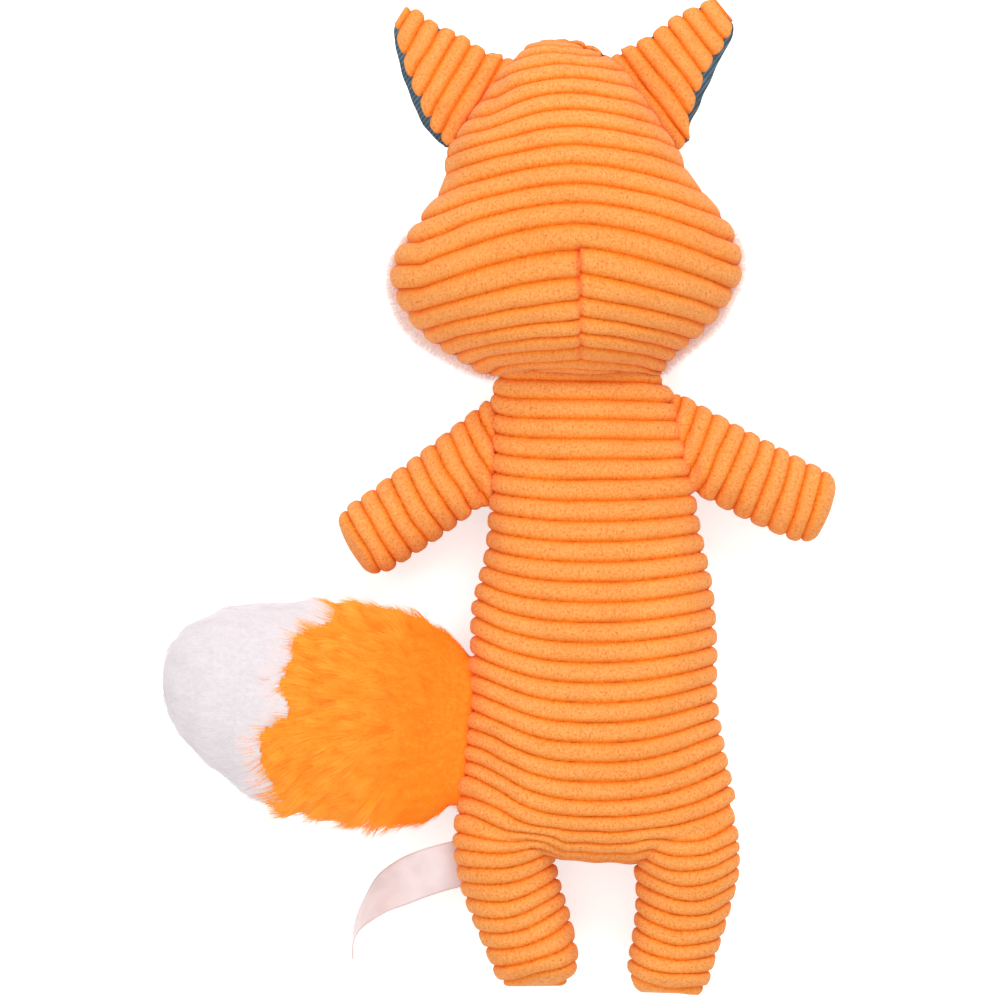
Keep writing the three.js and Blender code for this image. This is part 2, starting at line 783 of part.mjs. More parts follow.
function makeLimb(prefix, spec, grid, fit) {
  const { across } = grid;
  const hollow = fit(bag(limbRows(spec, grid, plush), across), plush);
  const cloth = (upper) => fit(half(limbRows(spec, grid, 0), across, upper), 0).subtract(hollow);
  add(`${prefix}_back_panel`, cloth(true), colours.corduroy);
  add(`${prefix}_front_panel`, cloth(false), colours.corduroy);
  add(`${prefix}_filling`, fit(bag(limbRows(spec, grid, fill), across), fill), colours.filling);
}

function makeEar(name, spec) {
  const { across } = earGrid;
  const wide = {
    ...spec,
    halfWidth: (l) => spec.halfWidth(l) + lining.show * smoothstep(l, 0, lining.from),
    tipHalfWidth: spec.tipHalfWidth + lining.show,
  };
  add(`ear_${name}_back`, half(limbRows(spec, earGrid, 0), across, true), colours.corduroy);
  add(`ear_${name}_lining`, half(limbRows(wide, earGrid, 0), across, false), colours.navy);
}

function makeTail(spec) {
  const { across } = tailGrid;
  const pile = (l) => lerp(furAtSeam, furDepth, smoothstep(l, 0, tail.fullPileAt));
  const outer = limbRows(spec, tailGrid, 0);
  const hollow = bag(limbRows(spec, tailGrid, pile), across);
  const border = spec.origin.clone().addScaledVector(spec.outward, tail.whiteAt);
  const facing = spec.outward.clone().rotateAround(new THREE.Vector2(), -rad(tail.whiteSlant));
  const tipSide = halfSpace(border, facing, clearance / 2);
  const bodySide = halfSpace(border, facing, -clearance / 2);
  for (const [name, upper] of [['back', true], ['front', false]]) {
    const sleeve = half(outer, across, upper).subtract(hollow);
    add(`tail_${name}_fur`, sleeve.subtract(bodySide), colours.furOrange);
    add(`tail_tip_${name}_fur`, sleeve.intersect(tipSide), colours.furWhite);
  }
  add('tail_filling', bag(limbRows(spec, tailGrid, (l) => pile(l) + clearance), across), colours.filling);
}

// The label: a satin band sewn into the left hip's seam, which droops and turns on its edge
function labelHinge(leg) {
  const seam = (y) => leg.origin.x + leg.path(-y)[1] - leg.halfWidth(-y);
  const reach = label.width / 2;
  return seamHinge(seam, -label.fromHip - reach, -label.fromHip + reach, -1, label.thickness / 2);
}

function makeLabel(hinge, height) {
  const { origin, outward, chord } = hinge;
  const onEdge = label.width / 2 + label.lift;
  const at = (reach, sweep, z) => {
    const plan = origin.clone().addScaledVector(outward, reach).addScaledVector(chord, -sweep);
    return new THREE.Vector3(plan.x, plan.y, z);
  };
  const { reach, sweep } = label;
  const middle = new THREE.CubicBezierCurve3(
    at(0, 0, height),
    at(reach * label.straightBy, 0, height),
    at(reach * label.bendBy, sweep * label.bendSweep, onEdge),
    at(reach, sweep, onEdge),
  );
  const rootWidth = new THREE.Vector3(chord.x, chord.y, 0);
  const up = new THREE.Vector3(0, 0, 1);
  // Each ring holds the points across the lower face, then those across the upper face
  const rings = Array.from({ length: labelGrid.along + 1 }, (_, k) => {
    const l = k / labelGrid.along;
    const centre = middle.getPointAt(l);
    const tangent = middle.getTangentAt(l);
    const level = new THREE.Vector3().crossVectors(tangent, up).normalize();
    if (level.dot(rootWidth) < 0) level.negate();
    const steep = new THREE.Vector3().crossVectors(tangent, level).normalize();
    if (steep.z > 0) steep.negate();
    const turn = (Math.PI / 2) * smoothstep(l, label.turnFrom, label.turnBy);
    const width = level.multiplyScalar(Math.cos(turn)).addScaledVector(steep, Math.sin(turn));
    if (k === 0) width.copy(rootWidth);
    const normal = new THREE.Vector3().crossVectors(tangent, width).normalize();
    return [-1, 1].map((face) =>
      Array.from({ length: labelGrid.across + 1 }, (_, i) =>
        centre
          .clone()
          .addScaledVector(width, label.width * (i / labelGrid.across - 0.5))
          .addScaledVector(normal, (face * label.thickness) / 2)
          .toArray(),
      ),
    );
  });
  const list = [];
  surface(list, rings.map(([lower]) => lower), false);
  surface(list, rings.map(([, upper]) => upper), true);
  for (const edge of [0, labelGrid.across])
    surface(list, rings.map((faces) => faces.map((face) => face[edge])), edge === 0);
  surface(list, rings[0], true);
  surface(list, rings.at(-1), false);
  add('satin_label', solidFrom(list), colours.satin);
}

// Each joint's hinge: a point on it and its direction
const hinges = {};

function addHinge(name, x, y, z, direction) {
  hinges[name] = { position: [x + hipAxis.x, y + hipAxis.y, z], axis: direction };
}

function addSeamHinge(name, { origin, chord }, z) {
  addHinge(name, origin.x, origin.y, z, [chord.x, chord.y, 0]);
}

makeTorso();
makeHead();
addHinge('neck', neckEnd.x, neckEnd.y, seamHeight, [1, 0, 0]);
for (const [name, values] of Object.entries(armSides)) {
  const spec = armSpec(values);
  makeLimb(`arm_${name}`, spec, limbGrid, (solid) => solid);
  addSeamHinge(`shoulder_${name}`, spec, seamHeight);
}
for (const [name, values] of Object.entries(legSides)) {
  makeLimb(`leg_${name}`, legSpec(values), limbGrid, swingFit(hipEnd, hipRange, -1));
  addHinge(`hip_${name}`, hipEnd.x, hipEnd.y, seamHeight, [1, 0, 0]);
}
for (const [name, values] of Object.entries(earSides)) {
  const spec = earSpec(values);
  makeEar(name, spec);
  addSeamHinge(`ear_${name}`, spec, head.seamHeight);
}
const tailShape = tailSpec();
makeTail(tailShape);
addSeamHinge('tail', tailShape, seamHeight);
const labelledLeg = legSpec(legSides.left);
const labelSeam = labelHinge(labelledLeg);
const labelHeight = labelledLeg.seam(label.fromHip);
makeLabel(labelSeam, labelHeight);
addSeamHinge('label', labelSeam, labelHeight);

group.position.set(hipAxis.x, hipAxis.y, 0);
group.userData.hinges = hinges;

export default group;
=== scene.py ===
import math
from functools import partial

import bmesh
import bpy
import numpy as np
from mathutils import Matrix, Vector


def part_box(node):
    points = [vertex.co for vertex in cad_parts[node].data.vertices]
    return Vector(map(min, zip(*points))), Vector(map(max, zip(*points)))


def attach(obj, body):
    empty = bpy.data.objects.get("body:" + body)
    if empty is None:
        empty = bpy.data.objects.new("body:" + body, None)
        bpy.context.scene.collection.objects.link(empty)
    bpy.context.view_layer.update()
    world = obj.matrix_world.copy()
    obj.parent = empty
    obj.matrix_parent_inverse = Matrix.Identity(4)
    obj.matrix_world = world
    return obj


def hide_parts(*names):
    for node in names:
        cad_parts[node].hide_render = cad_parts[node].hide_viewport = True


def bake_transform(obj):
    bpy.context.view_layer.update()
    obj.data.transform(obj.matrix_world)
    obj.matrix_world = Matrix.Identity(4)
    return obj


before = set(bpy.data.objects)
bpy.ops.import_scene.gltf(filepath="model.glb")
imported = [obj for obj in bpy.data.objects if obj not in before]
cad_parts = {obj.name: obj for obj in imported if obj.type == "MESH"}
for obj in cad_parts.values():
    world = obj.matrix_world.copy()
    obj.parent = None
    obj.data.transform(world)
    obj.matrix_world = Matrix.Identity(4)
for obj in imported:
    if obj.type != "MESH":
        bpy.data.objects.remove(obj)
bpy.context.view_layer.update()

# The toy lies on its front. Sizes are in millimetres in the frame's axes: +Y to its head, +Z up
# from what it lies on; left and right are as seen from above. MM turns them into metres.
MM = 0.001
SEAM = 23.0
HIP = (32.3, -99.7)
HIP_RADIUS = 21.3
NECK = (27.7, 34.8)
NECK_RADIUS = 17.5
HEAD_SEAM = 38.0
RIB = 1.8
THICKNESS = 1.4
LOWEST = 0.25
UP, DOWN = 1, -1
SIDES = {UP: "back", DOWN: "front"}


# Curves and fields

def through(*stations):
    """A smooth curve through (position, value) stations."""
    at, value = np.array(sorted(stations), float).T
    slope = np.gradient(value, at)

    def curve(x):
        x = np.clip(x, at[0], at[-1])
        i = np.clip(np.searchsorted(at, x, side="right") - 1, 0, len(at) - 2)
        span = at[i + 1] - at[i]
        t = (x - at[i]) / span
        low = (1 + 2 * t) * (1 - t) ** 2 * value[i] + t * (1 - t) ** 2 * span * slope[i]
        high = t * t * (3 - 2 * t) * value[i + 1] + t * t * (t - 1) * span * slope[i + 1]
        return low + high

    return curve


def ease(x, low, high):
    t = np.clip((x - low) / (high - low), 0, 1)
    return t * t * (3 - 2 * t)


def mix(a, b, t):
    return a + (b - a) * t


def crown(u):
    """How a stuffed panel stands up between its two seams, at u = -1 and 1."""
    return np.sqrt(np.maximum(0, 1 - np.abs(u) ** 2.3))


def across(columns):
    return -np.cos(np.linspace(0, np.pi, columns + 1))


def drift(x, y, scale, seed):
    """A smooth random field of about -1 to 1, as a hand-stuffed skin has."""
    rng = np.random.default_rng(seed)
    total = 0
    for turn, start, stretch in rng.uniform((0, 0, 0.7), (2 * np.pi, 2 * np.pi, 1.6), (6, 3)):
        wave = (x * math.cos(turn) + y * math.sin(turn)) * stretch / scale
        total = total + np.sin(2 * np.pi * wave + start)
    return total / 3


def rib(wale, depth=RIB):
    """The pile over a wale: a broad round rib between two narrow furrows, where wale is whole."""
    edge = np.abs(wale - np.floor(wale) - 0.5) * 2
    return depth * ((1 - edge ** 2.9) ** 0.6 - 0.8)


# Skins

def outward(points, side):
    """The normals of a panel's grid, level where it meets the panel on the seam's other side."""
    normal = np.cross(np.gradient(points, axis=1), np.gradient(points, axis=0))
    if normal[1:-1, 1:-1, 2].mean() * side < 0:
        normal = -normal
    for edge in (np.s_[0], np.s_[-1], np.s_[:, 0], np.s_[:, -1]):
        normal[edge][..., 2] = 0
    size = np.linalg.norm(normal, axis=2, keepdims=True)
    return normal / np.maximum(size, 1e-9)


def pressed(points, side, height, lowest):
    """A grid pressed outwards by its relief, and kept off the ground."""
    points = points + outward(points, side) * height[..., None]
    points[..., 2] = np.maximum(points[..., 2], lowest)
    return points


def mesh_piece(name, points, faces, **fields):
    mesh = bpy.data.meshes.new(name)
    mesh.from_pydata(np.asarray(points).reshape(-1, 3) * MM, [], faces)
    for field, values in fields.items():
        values = np.asarray(values, np.float32)
        kind = "FLOAT_VECTOR" if values.ndim > 1 and values.shape[-1] == 3 else "FLOAT"
        attribute = mesh.attributes.new(field, kind, "POINT")
        attribute.data.foreach_set("vector" if kind == "FLOAT_VECTOR" else "value", values.ravel())
    mesh.polygons.foreach_set("use_smooth", np.ones(len(mesh.polygons), bool))
    mesh.update()
    piece = bpy.data.objects.new(name, mesh)
    bpy.context.scene.collection.objects.link(piece)
    return piece


def reshaped(piece, heights):
    """The piece with new heights from heights(points), all in millimetres."""
    points = np.empty((len(piece.data.vertices), 3), np.float32)
    piece.data.vertices.foreach_get("co", points.ravel())
    points[:, 2] = heights(points / MM) * MM
    piece.data.vertices.foreach_set("co", points.ravel())
    return piece


def baked(piece):
    """The piece with its modifiers worked into its mesh."""
    piece.data = bpy.data.meshes.new_from_object(
        piece.evaluated_get(bpy.context.evaluated_depsgraph_get()))
    piece.modifiers.clear()
    return piece


def grid(rows, columns):
    """The numbers of a grid's points, and the faces between them."""
    index = np.arange(rows * columns).reshape(rows, columns)
    return index, np.stack([index[:-1, :-1], index[:-1, 1:], index[1:, 1:], index[1:, :-1]], axis=2)


def closing_strip(index):
    """Faces that close a whole panel behind, from seam to seam along every row."""
    left, right = index[:, 0], index[:, -1]
    strip = np.stack([left[:-1], left[1:], right[1:], right[:-1]], axis=1).tolist()
    return strip + [index[0, ::-1].tolist(), index[-1].tolist()]


def closing_shell(faces, count):
    """Faces that close a part of a panel: its inner skin, and walls round its cut edges."""
    inner = (faces[:, ::-1] + count).tolist()
    edges = np.stack([faces, np.roll(faces, -1, axis=1)], axis=2).reshape(-1, 2)
    known = set(map(tuple, edges.tolist()))
    walls = [[b, a, a + count, b + count] for a, b in known if (b, a) not in known]
    return sorted(walls) + inner


def panel(name, points, side, keep=None, thick=THICKNESS, **fields):
    """A sewn panel from its grid, closed behind; keep picks the part of the grid that it covers."""
    rows, columns = points.shape[:2]
    index, faces = grid(rows, columns)
    normal = np.cross(np.gradient(points, axis=1), np.gradient(points, axis=0))[1:-1, 1:-1, 2]
    turned = normal.mean() * side < 0
    flat = points.reshape(-1, 3)
    fields = {field: np.asarray(v).reshape(rows * columns, -1) for field, v in fields.items()}
    if keep is None:
        closing = closing_strip(index)
        outer = faces.reshape(-1, 4)
    else:
        used, outer = np.unique(faces[keep[:-1, :-1]], return_inverse=True)
        outer = outer.reshape(-1, 4)
        inner = points - outward(points, side) * np.asarray(thick)[..., None]
        flat = np.vstack([flat[used], inner.reshape(-1, 3)[used]])
        fields = {field: np.vstack([v[used]] * 2) for field, v in fields.items()}
        closing = closing_shell(outer, len(used))
    faces = outer.tolist() + closing
    if turned:
        faces = [face[::-1] for face in faces]
    fields = {field: v if v.shape[1] == 3 else v[:, 0] for field, v in fields.items()}
    piece = mesh_piece(f"{name}_skin", flat, faces, **fields)
    piece["outer_faces"] = len(outer)
    piece["with_walls"] = len(faces) - len(outer)
    return piece


def even_rows(centre, step):
    """Positions from 0 to 1 along centre(t) -> (outwards, up), evenly spaced on the cloth."""
    t = np.linspace(0, 1, 2000)
    length = np.concatenate([[0], np.cumsum(np.hypot(*np.diff(centre(t), axis=1)))])
    count = max(2, round(length[-1] / step))
    return np.interp(np.linspace(0, length[-1], count + 1), length, t)


# Torso

torso_left = through(
    (-121, -16.4), (-114, -16.2), (-104, -15), (-86, -12.6), (-65, -10.6), (-49, -9.6), (-39, -9.4),
    (-29, -7.6), (-19, -5), (-4, -3.6), (16, -3.8), (30, -2.9), (38, -3), (44, -4.2), (52, -4.6))
torso_right = through(
    (-121, 81.2), (-114, 80.4), (-99, 78), (-84, 75), (-69, 72.4), (-49, 72.1), (-39, 71.6), (-29, 70.6),
    (-19, 68.5), (-4, 65.6), (16, 63.2), (28, 59.8), (36, 57.2), (43, 55.4), (52, 55))
torso_rise = through(
    (HIP[1], HIP_RADIUS), (-70, 24.4), (-41.7, 25), (-10, 23.4), (20, 19.4), (NECK[1], NECK_RADIUS))
torso_drop = through(
    (HIP[1], HIP_RADIUS), (-70, 23), (-41.7, 22.8), (0, 22.2), (NECK[1], NECK_RADIUS))
wale_of_back = through(
    (62.3, -5.3), (44.9, -2), (39.3, -1), (33, 0), (-14.3, 7), (-68, 15), (-88, 18), (-100.6, 20),
    (-111.6, 22), (-122.3, 24), (-133.2, 25.7))
sag_left = through(
    (33, 0.6), (6, 1.7), (-21, 3), (-48, 4.3), (-61, 5.3), (-75, 6.7), (-88, 7.6), (-98, 8.5), (-103.5, 7.5),
    (-110.3, 5), (-114.5, 4), (-121, 3.2))
sag_by_tail = through(
    (0, 4), (-20, 6), (-35, 7.4), (-61, 8.8), (-75, 10.2), (-88.8, 11.7), (-94, 12.2), (-100.8, 10.2),
    (-106.3, 8.7), (-112.8, 5.5), (-118.3, 3))
sag_right = through(
    (33, -1.3), (0, 2), (-21, 3), (-34, 3.3), (-51, 3.7), (-67, 4.7), (-82, 6), (-97, 5.3), (-107, 3.7),
    (-114, 1.7), (-121, -0.6))


def torso_wale(x, y):
    """Which wale of the back a point lies on: they sag between the sides, most over the hips."""
    left = 0
    for shift, weight in ((-4, 0.12), (-2, 0.23), (0, 0.3), (2, 0.23), (4, 0.12)):
        inner = np.clip((33.5 - x - shift) / 33.3, 0, 1) ** 2.7 * sag_left(y)
        by_tail = mix(sag_left(y), sag_by_tail(y), np.clip((0.2 - x - shift) / 7.4, 0, 1.5))
        left = left + weight * np.where(x + shift < 0.2, by_tail, inner)
    right = np.clip((x - 33.5) / 31.7, 0, 1.4) ** 2 * sag_right(y)
    level = y - left - right
    below = np.clip((HIP[1] - level) / HIP_RADIUS, 0, 1)
    above = np.clip((level - NECK[1]) / NECK_RADIUS, 0, 1)
    on_cloth = np.where(level < HIP[1], HIP[1] - HIP_RADIUS * np.arcsin(below), level)
    on_cloth = np.where(level > NECK[1], NECK[1] + NECK_RADIUS * np.arcsin(above), on_cloth)
    return wale_of_back(on_cloth)


def back_wale(x, y, on_leg):
    """The wales of the back run on over the legs, except between them."""
    legs = np.where(x < HIP[0], leg_wale(LEGS["left"], x, y), leg_wale(LEGS["right"], x, y))
    share = ease(-y, 108, 119) * (1 if on_leg else ease(np.abs(x - HIP[0]), 10, 24))
    return mix(torso_wale(x, y), legs, share)


def torso_grid(side, step, columns):
    low, body = HIP_RADIUS * math.pi / 2, NECK[1] - HIP[1]

    def centre(t):
        along = t * (low + body + NECK_RADIUS * math.pi / 2) - low
        return np.array([along, np.zeros_like(along)])

    along = centre(even_rows(centre, step))[0][:, None]
    u = across(columns)[None, :]
    hip = np.clip(-along / HIP_RADIUS, 0, np.pi / 2)
    neck = np.clip((along - body) / NECK_RADIUS, 0, np.pi / 2)
    axis_y = HIP[1] + np.clip(along, 0, body)
    c = crown(u)
    full = torso_rise(axis_y) if side == UP else torso_drop(axis_y)
    # The hips stay full out to the legs before they turn down between them
    wide = np.sqrt(1 - np.abs(u) ** 6)
    y = axis_y + full * (c * np.sin(neck) - wide * np.sin(hip))
    z = SEAM + side * full * c * np.cos(neck) * np.cos(hip) ** 0.6
    edge_y = np.clip(y, -121, 52)
    left, right = torso_left(edge_y), torso_right(edge_y)
    narrow = 1 - 0.1 * (1 - np.cos(hip)) - 0.05 * (1 - np.cos(neck))
    x = (left + right) / 2 + u * narrow * (right - left) / 2
    return np.stack(np.broadcast_arrays(x, y, z), axis=2), np.broadcast_to(u, x.shape)


def make_torso(side):
    points, u = torso_grid(side, 0.5, 88)
    x, y = points[..., 0], points[..., 1]
    wale = back_wale(x, y, False)
    by_side = ease(np.abs(u), 0.8, 0.98)
    lump = 0.8 * drift(x, y, 46, 3) + 0.3 * drift(x, y, 17, 4)
    # The cloth puckers where the tail is sewn into the left side, and dips beside the arms
    pucker = np.exp(-((x + 10) / 11) ** 2 - ((y + 78) / 34) ** 2)
    fold = 0.9 * pucker * drift(x * 0.35, y, 11, 5)
    hip_crease = hip_fold(x, y) if side == UP else 0
    depth = RIB * (1 + 0.16 * drift(x, y, 23, 6) + 0.3 * by_side)
    height = rib(wale, depth) + lump * (1 - by_side) + fold - hip_crease
    points = pressed(points, side, height, lowest=0.35)
    return panel(f"torso_{SIDES[side]}", points, side, wale=wale, along=x, shade=0 * x)


def hip_fold(x, y):
    """The short creases that run up and outwards from between the legs."""
    left = np.hypot((x - 11) / 8, (y + 118.6 - (11 - x) * 0.3) / 1.3)
    right = np.hypot((x - 51) / 7, (y + 124 + (x - 51) * 0.6) / 1.3)
    return 1.2 * np.exp(-left ** 2) + 1.0 * np.exp(-right ** 2)


# Head

head_left = through(
    (42, -2.8), (43.5, -6.6), (46, -10.8), (51, -18.8), (56, -25.6), (61, -29.7), (66, -32.6), (71, -34.5),
    (76, -35.0), (81, -33.4), (86, -30.4), (91, -27.2), (96, -24.3), (101, -21.1), (106, -18.8),
    (116, -17.2), (126, -12.4), (132.7, -8.0), (139.3, -3.8), (146.7, 0.6), (153, 7))
head_right = through(
    (42, 53.2), (43.5, 53.6), (46, 55), (51, 60.2), (56, 66.2), (61, 71), (66, 74.7), (71, 77.5),
    (76, 79.2), (81, 78.9), (86, 77.3), (91, 75.2), (96, 72.2), (101, 68.8), (106, 65.0), (111, 61.8),
    (116, 60.0), (126, 53.8), (132.7, 49.8), (139.3, 45.8), (147.3, 40.8), (153, 34))
head_top = through(
    (42, 20), (43.6, 24.5), (45.5, 28.4), (48, 31), (52, 33), (60, 34.2), (76, 35), (96, 34.8),
    (117, 32.6), (138.3, 28.6), (153, 26))
head_under = through(
    (42, 14), (46, 17), (52, 21.3), (76, 26), (100, 25.4), (117, 24.2), (138.3, 21.5), (153, 20))
head_seam = through((42, 23.2), (46, 25), (52, 29), (64, 34.5), (76, 38), (153, 38))
wale_of_head = through(
    (41, 18.6), (43, 17), (45.3, 16), (49.3, 15), (98, 8), (139.8, 1), (144.7, 0), (148.6, -1), (151, -2),
    (152.4, -3), (153.4, -4))
droop_by_height = through((45, 0.6), (52, 0.72), (66, 1), (99, 1), (116, 1.1), (133, 1.5), (150, 1.6))
DART_X = 26.5
HEAD_FROM, ROUND_FROM, CROWN = 42.0, 138.3, 152.6
FACE_X = 22


def head_wale(x, y):
    """The head's wales arch up to its centre-back seam."""
    out = np.clip(np.abs(x - 25.2) / 48.3, 0, 1.08)
    return wale_of_head(y + 11 * out ** mix(1.55, 1.85, ease(y, 82, 100)) * droop_by_height(y))


def head_grid(side, step, columns):
    crown_share = 0.15
    flat_share = 1 - crown_share

    def row(t):
        """How far a row has turned down over the crown, and where it lies."""
        turn = np.clip((t - flat_share) / crown_share, 0, 1) * np.pi / 2
        flat = mix(HEAD_FROM, ROUND_FROM, np.clip(t / flat_share, 0, 1))
        return turn, flat + (CROWN - ROUND_FROM) * np.sin(turn)

    def centre(t):
        turn, y = row(t)
        return np.array([y, head_seam(y) + head_top(y) * np.cos(turn)])

    turn, y = row(even_rows(centre, step)[:, None])
    u = across(columns)
    if side == UP:
        # Closer columns where the dart's narrow crease runs
        u = np.sort(np.concatenate([u, np.linspace(0.045, 0.175, 26)]))
    u = u[None, :]
    full = head_top(y) if side == UP else head_under(y)
    z = head_seam(y) + side * full * crown(u) * np.cos(turn)
    left, right = head_left(y), head_right(y)
    x = mix(left, right, (u + 1) / 2)
    arch = 5 * (np.clip(y - NECK[1], 0, None) / 118.2) ** 4 * u * u
    return np.stack(np.broadcast_arrays(x, y - arch, z), axis=2), np.broadcast_to(u, x.shape)


def dart(x, y):
    """How near a point is to the head's centre-back dart, 1 in it and 0 away from it."""
    opened = ease(y, 86, 80) * ease(y, 43, 48)
    wander = DART_X + 0.3 * np.sin(y / 7)
    return opened * np.exp(-(np.abs(x - wander) / 1.1) ** 1.6), opened


def make_head_back():
    points, u = head_grid(UP, 0.5, 104)
    x, y = points[..., 0], points[..., 1]
    near, opened = dart(x, y)
    # The dart takes up cloth, so the wales step where its two edges meet
    step = opened * 0.1 * np.sign(x - DART_X) * np.exp(-np.abs(x - DART_X) / 14)
    wale = head_wale(x, y) + step
    crown_dart = np.exp(-((x - 20.3) / 1.1) ** 2) * ease(y, 146, 149)
    valley = 1.2 * opened * np.exp(-((x - DART_X) / 7) ** 2)
    side_kink = np.exp(-((x + 26.5) / 2.2) ** 2) * ease(np.abs(y - 70), 18, 9)
    side_kink = side_kink + np.exp(-((x - 71.5) / 2.2) ** 2) * ease(np.abs(y - 81), 14, 7)
    by_side = ease(np.abs(u), 0.8, 0.98)
    lump = 0.9 * drift(x, y, 52, 11) + 0.3 * drift(x, y, 19, 12)
    # At the cheeks the ribs end in round fingers over the seam; higher up they flatten into it
    low = ease(y, 104, 88)
    fingers = by_side * mix(-0.45, 0.6, low)
    rounded = opened * np.exp(-((x - DART_X) / 2.4) ** 2)
    depth = RIB * (1 + 0.15 * drift(x, y, 25, 13) + fingers + 0.6 * rounded) * (1 - 0.6 * near)
    high = ease(y, 58, 78)
    height = rib(wale, depth) + lump * (1 - by_side) - near * (1.0 + 1.3 * high) + 1.1 * by_side * low
    height = height - 0.5 * valley - 0.5 * crown_dart - 0.5 * side_kink
    points = points + outward(points, UP) * height[..., None]
    # Painted shade: the dart's crease is darkened, most in the furrows between the ribs
    between = (np.abs(wale - np.floor(wale) - 0.5) * 2) ** 5
    shade = near * (0.25 + 0.75 * between * (0.3 + 0.7 * high))
    return panel("head_back", points, UP, wale=wale, along=x, shade=shade)


def cheek_line(x):
    """How far up the face the white cheeks reach."""
    return mix(75.8, 88.8, ease(np.abs(x - FACE_X), 0, 46))


cheek_swell = through((42, 0.2), (46, 1.4), (52, 2.1), (60, 2.1), (70, 1.4), (80, 0.7), (90, 0.2))


def make_face():
    points, u = head_grid(DOWN, 0.6, 96)
    x, y = points[..., 0], points[..., 1]
    wale = head_wale(x, y)
    cheeks = y < cheek_line(x)
    ribs = rib(wale, RIB * (1 - 0.5 * ease(np.abs(u), 0.8, 1)))
    height = np.where(cheeks, 0.4 + 0.2 * drift(x, y, 14, 21), ribs) + 0.6 * drift(x, y, 44, 22)
    # Below their seam the cheeks swell out past the back panel, most at the jaw
    swell = ease(np.abs(u), 0.5, 0.95) * ease(y, 96, 86)
    swell = swell * cheek_swell(y) * np.where(x < FACE_X, 1.15, 0.9) * cheeks
    height = height + swell
    # A seam runs down the middle between the cheeks, and one between them and the forehead
    middle = np.exp(-((x - FACE_X) / 1.3) ** 2) * cheeks
    edge = np.exp(-((y - cheek_line(x)) / 1.3) ** 2)
    points = pressed(points, DOWN, height - 1.2 * middle - 1.2 * edge, lowest=1.0)
    fields = {"wale": wale, "along": x, "shade": 0 * x}
    normal = outward(points, DOWN)
    # Under the head the pile is brushed outwards; at its sides it stands up and makes a soft fringe
    fringe = ease(normal[..., 2], -0.55, -0.2)[..., None]
    comb = mix(combed(normal, x - FACE_X, y - 80), lit(normal), fringe)
    pile = 0.55 + 0.45 * ease(np.abs(u), 0.55, 0.97)
    furry = {"comb": comb, "pile": pile, "skin_up": lit(normal)}
    forehead = panel("forehead", points, DOWN, ~cheeks, **fields)
    thick = THICKNESS + 1.6 * swell
    left = panel("cheek_left", points, DOWN, cheeks & (x < FACE_X), thick, **furry)
    right = panel("cheek_right", points, DOWN, cheeks & (x >= FACE_X), thick, **furry)
    return forehead, left, right


def combed(normal, x, y):
    """The way the pile lies: along a direction seen from above, kept level with the skin."""
    way = np.stack(np.broadcast_arrays(x, y, 0 * x), axis=-1)
    way = way - normal * (way * normal).sum(-1, keepdims=True)
    return way / np.maximum(np.linalg.norm(way, axis=-1, keepdims=True), 1e-6)


def lit(normal):
    """The way the pile faces the light: raised at the sides, where real pile glows through."""
    way = normal + np.array([0, 0, 2.0]) * (1 + np.minimum(normal[..., 2:], 0))
    return way / np.maximum(np.linalg.norm(way, axis=-1, keepdims=True), 1e-6)


# Limbs

def limb(spec, side, step, columns):
    """A panel of a limb: rows stand along its root seam and turn square to it further out."""
    out = np.array(spec["outward"])
    along = np.array([out[1], -out[0]]) * spec["side"]
    length, tip = spec["length"], spec["tip_length"]
    root = spec.get("root_radius", 3.5)
    body = length - tip
    # The rounded root and tip take up more cloth than they reach
    root_cloth, tip_cloth = root * 1.2, tip * 1.4
    cloth = root_cloth + body + tip_cloth
    run = np.linspace(0, 1, max(8, round(cloth / step)) + 1)[:, None] * cloth
    start = np.clip(1 - run / root_cloth, 0, 1)
    closing = np.clip((run - root_cloth - body) / tip_cloth, 0, 1) * np.pi / 2
    at = np.clip(run - root_cloth, 0, body) + tip * np.sin(closing)
    u = across(columns)[None, :]

    def heading(at):
        """Which way the limb's middle runs, from a millimetre before a place to one after it."""
        before = np.maximum(0, at - 1)
        ahead, aside = (b - a for a, b in zip(spec["path"](before), spec["path"](before + 2)))
        return np.arctan2(aside, ahead)

    turned = ease(at, 0, spec.get("turned_by", length / 2))
    angle = heading(at)
    full = spec["half"](at)
    half = mix(np.minimum(spec["tip_half"], full), full, np.cos(closing))
    ahead, aside = spec["path"](at)
    row = angle * turned
    reach = half / np.cos(angle - row) * u
    bow = spec.get("bow", 0) * (1 - u * u) * ease(at, 0, length * 0.4)
    ahead = ahead - start * root + (bow - np.sin(row) * reach)
    aside = aside + np.cos(row) * reach
    thick = crown(u) * np.cos(closing) * np.sqrt(1 - start ** 2)
    depth = spec["depth"](at)
    x = spec["origin"][0] + out[0] * ahead + along[0] * aside
    y = spec["origin"][1] + out[1] * ahead + along[1] * aside
    z = spec["seam"](at) + side * depth * thick
    x, y, z, at, u = np.broadcast_arrays(x, y, z, at - root * start, u)
    return np.stack([x, y, z], axis=2), at, u


def seam_to(height, by):
    return lambda far: mix(SEAM, height, ease(far, 0, by))


ARMS = {
    "left": dict(
        origin=(-5.5, 15.0), outward=(-0.9996, 0.0274), side=-1, length=56.2, angle=39.8, bend=3.2,
        slant=(0.13, 0.13), start=-0.04),
    "right": dict(
        origin=(63.0, 18.2), outward=(0.989, 0.1477), side=1, length=53.3, angle=37.2, bend=2.8,
        slant=(0.05, 0.2), start=0.5),
}


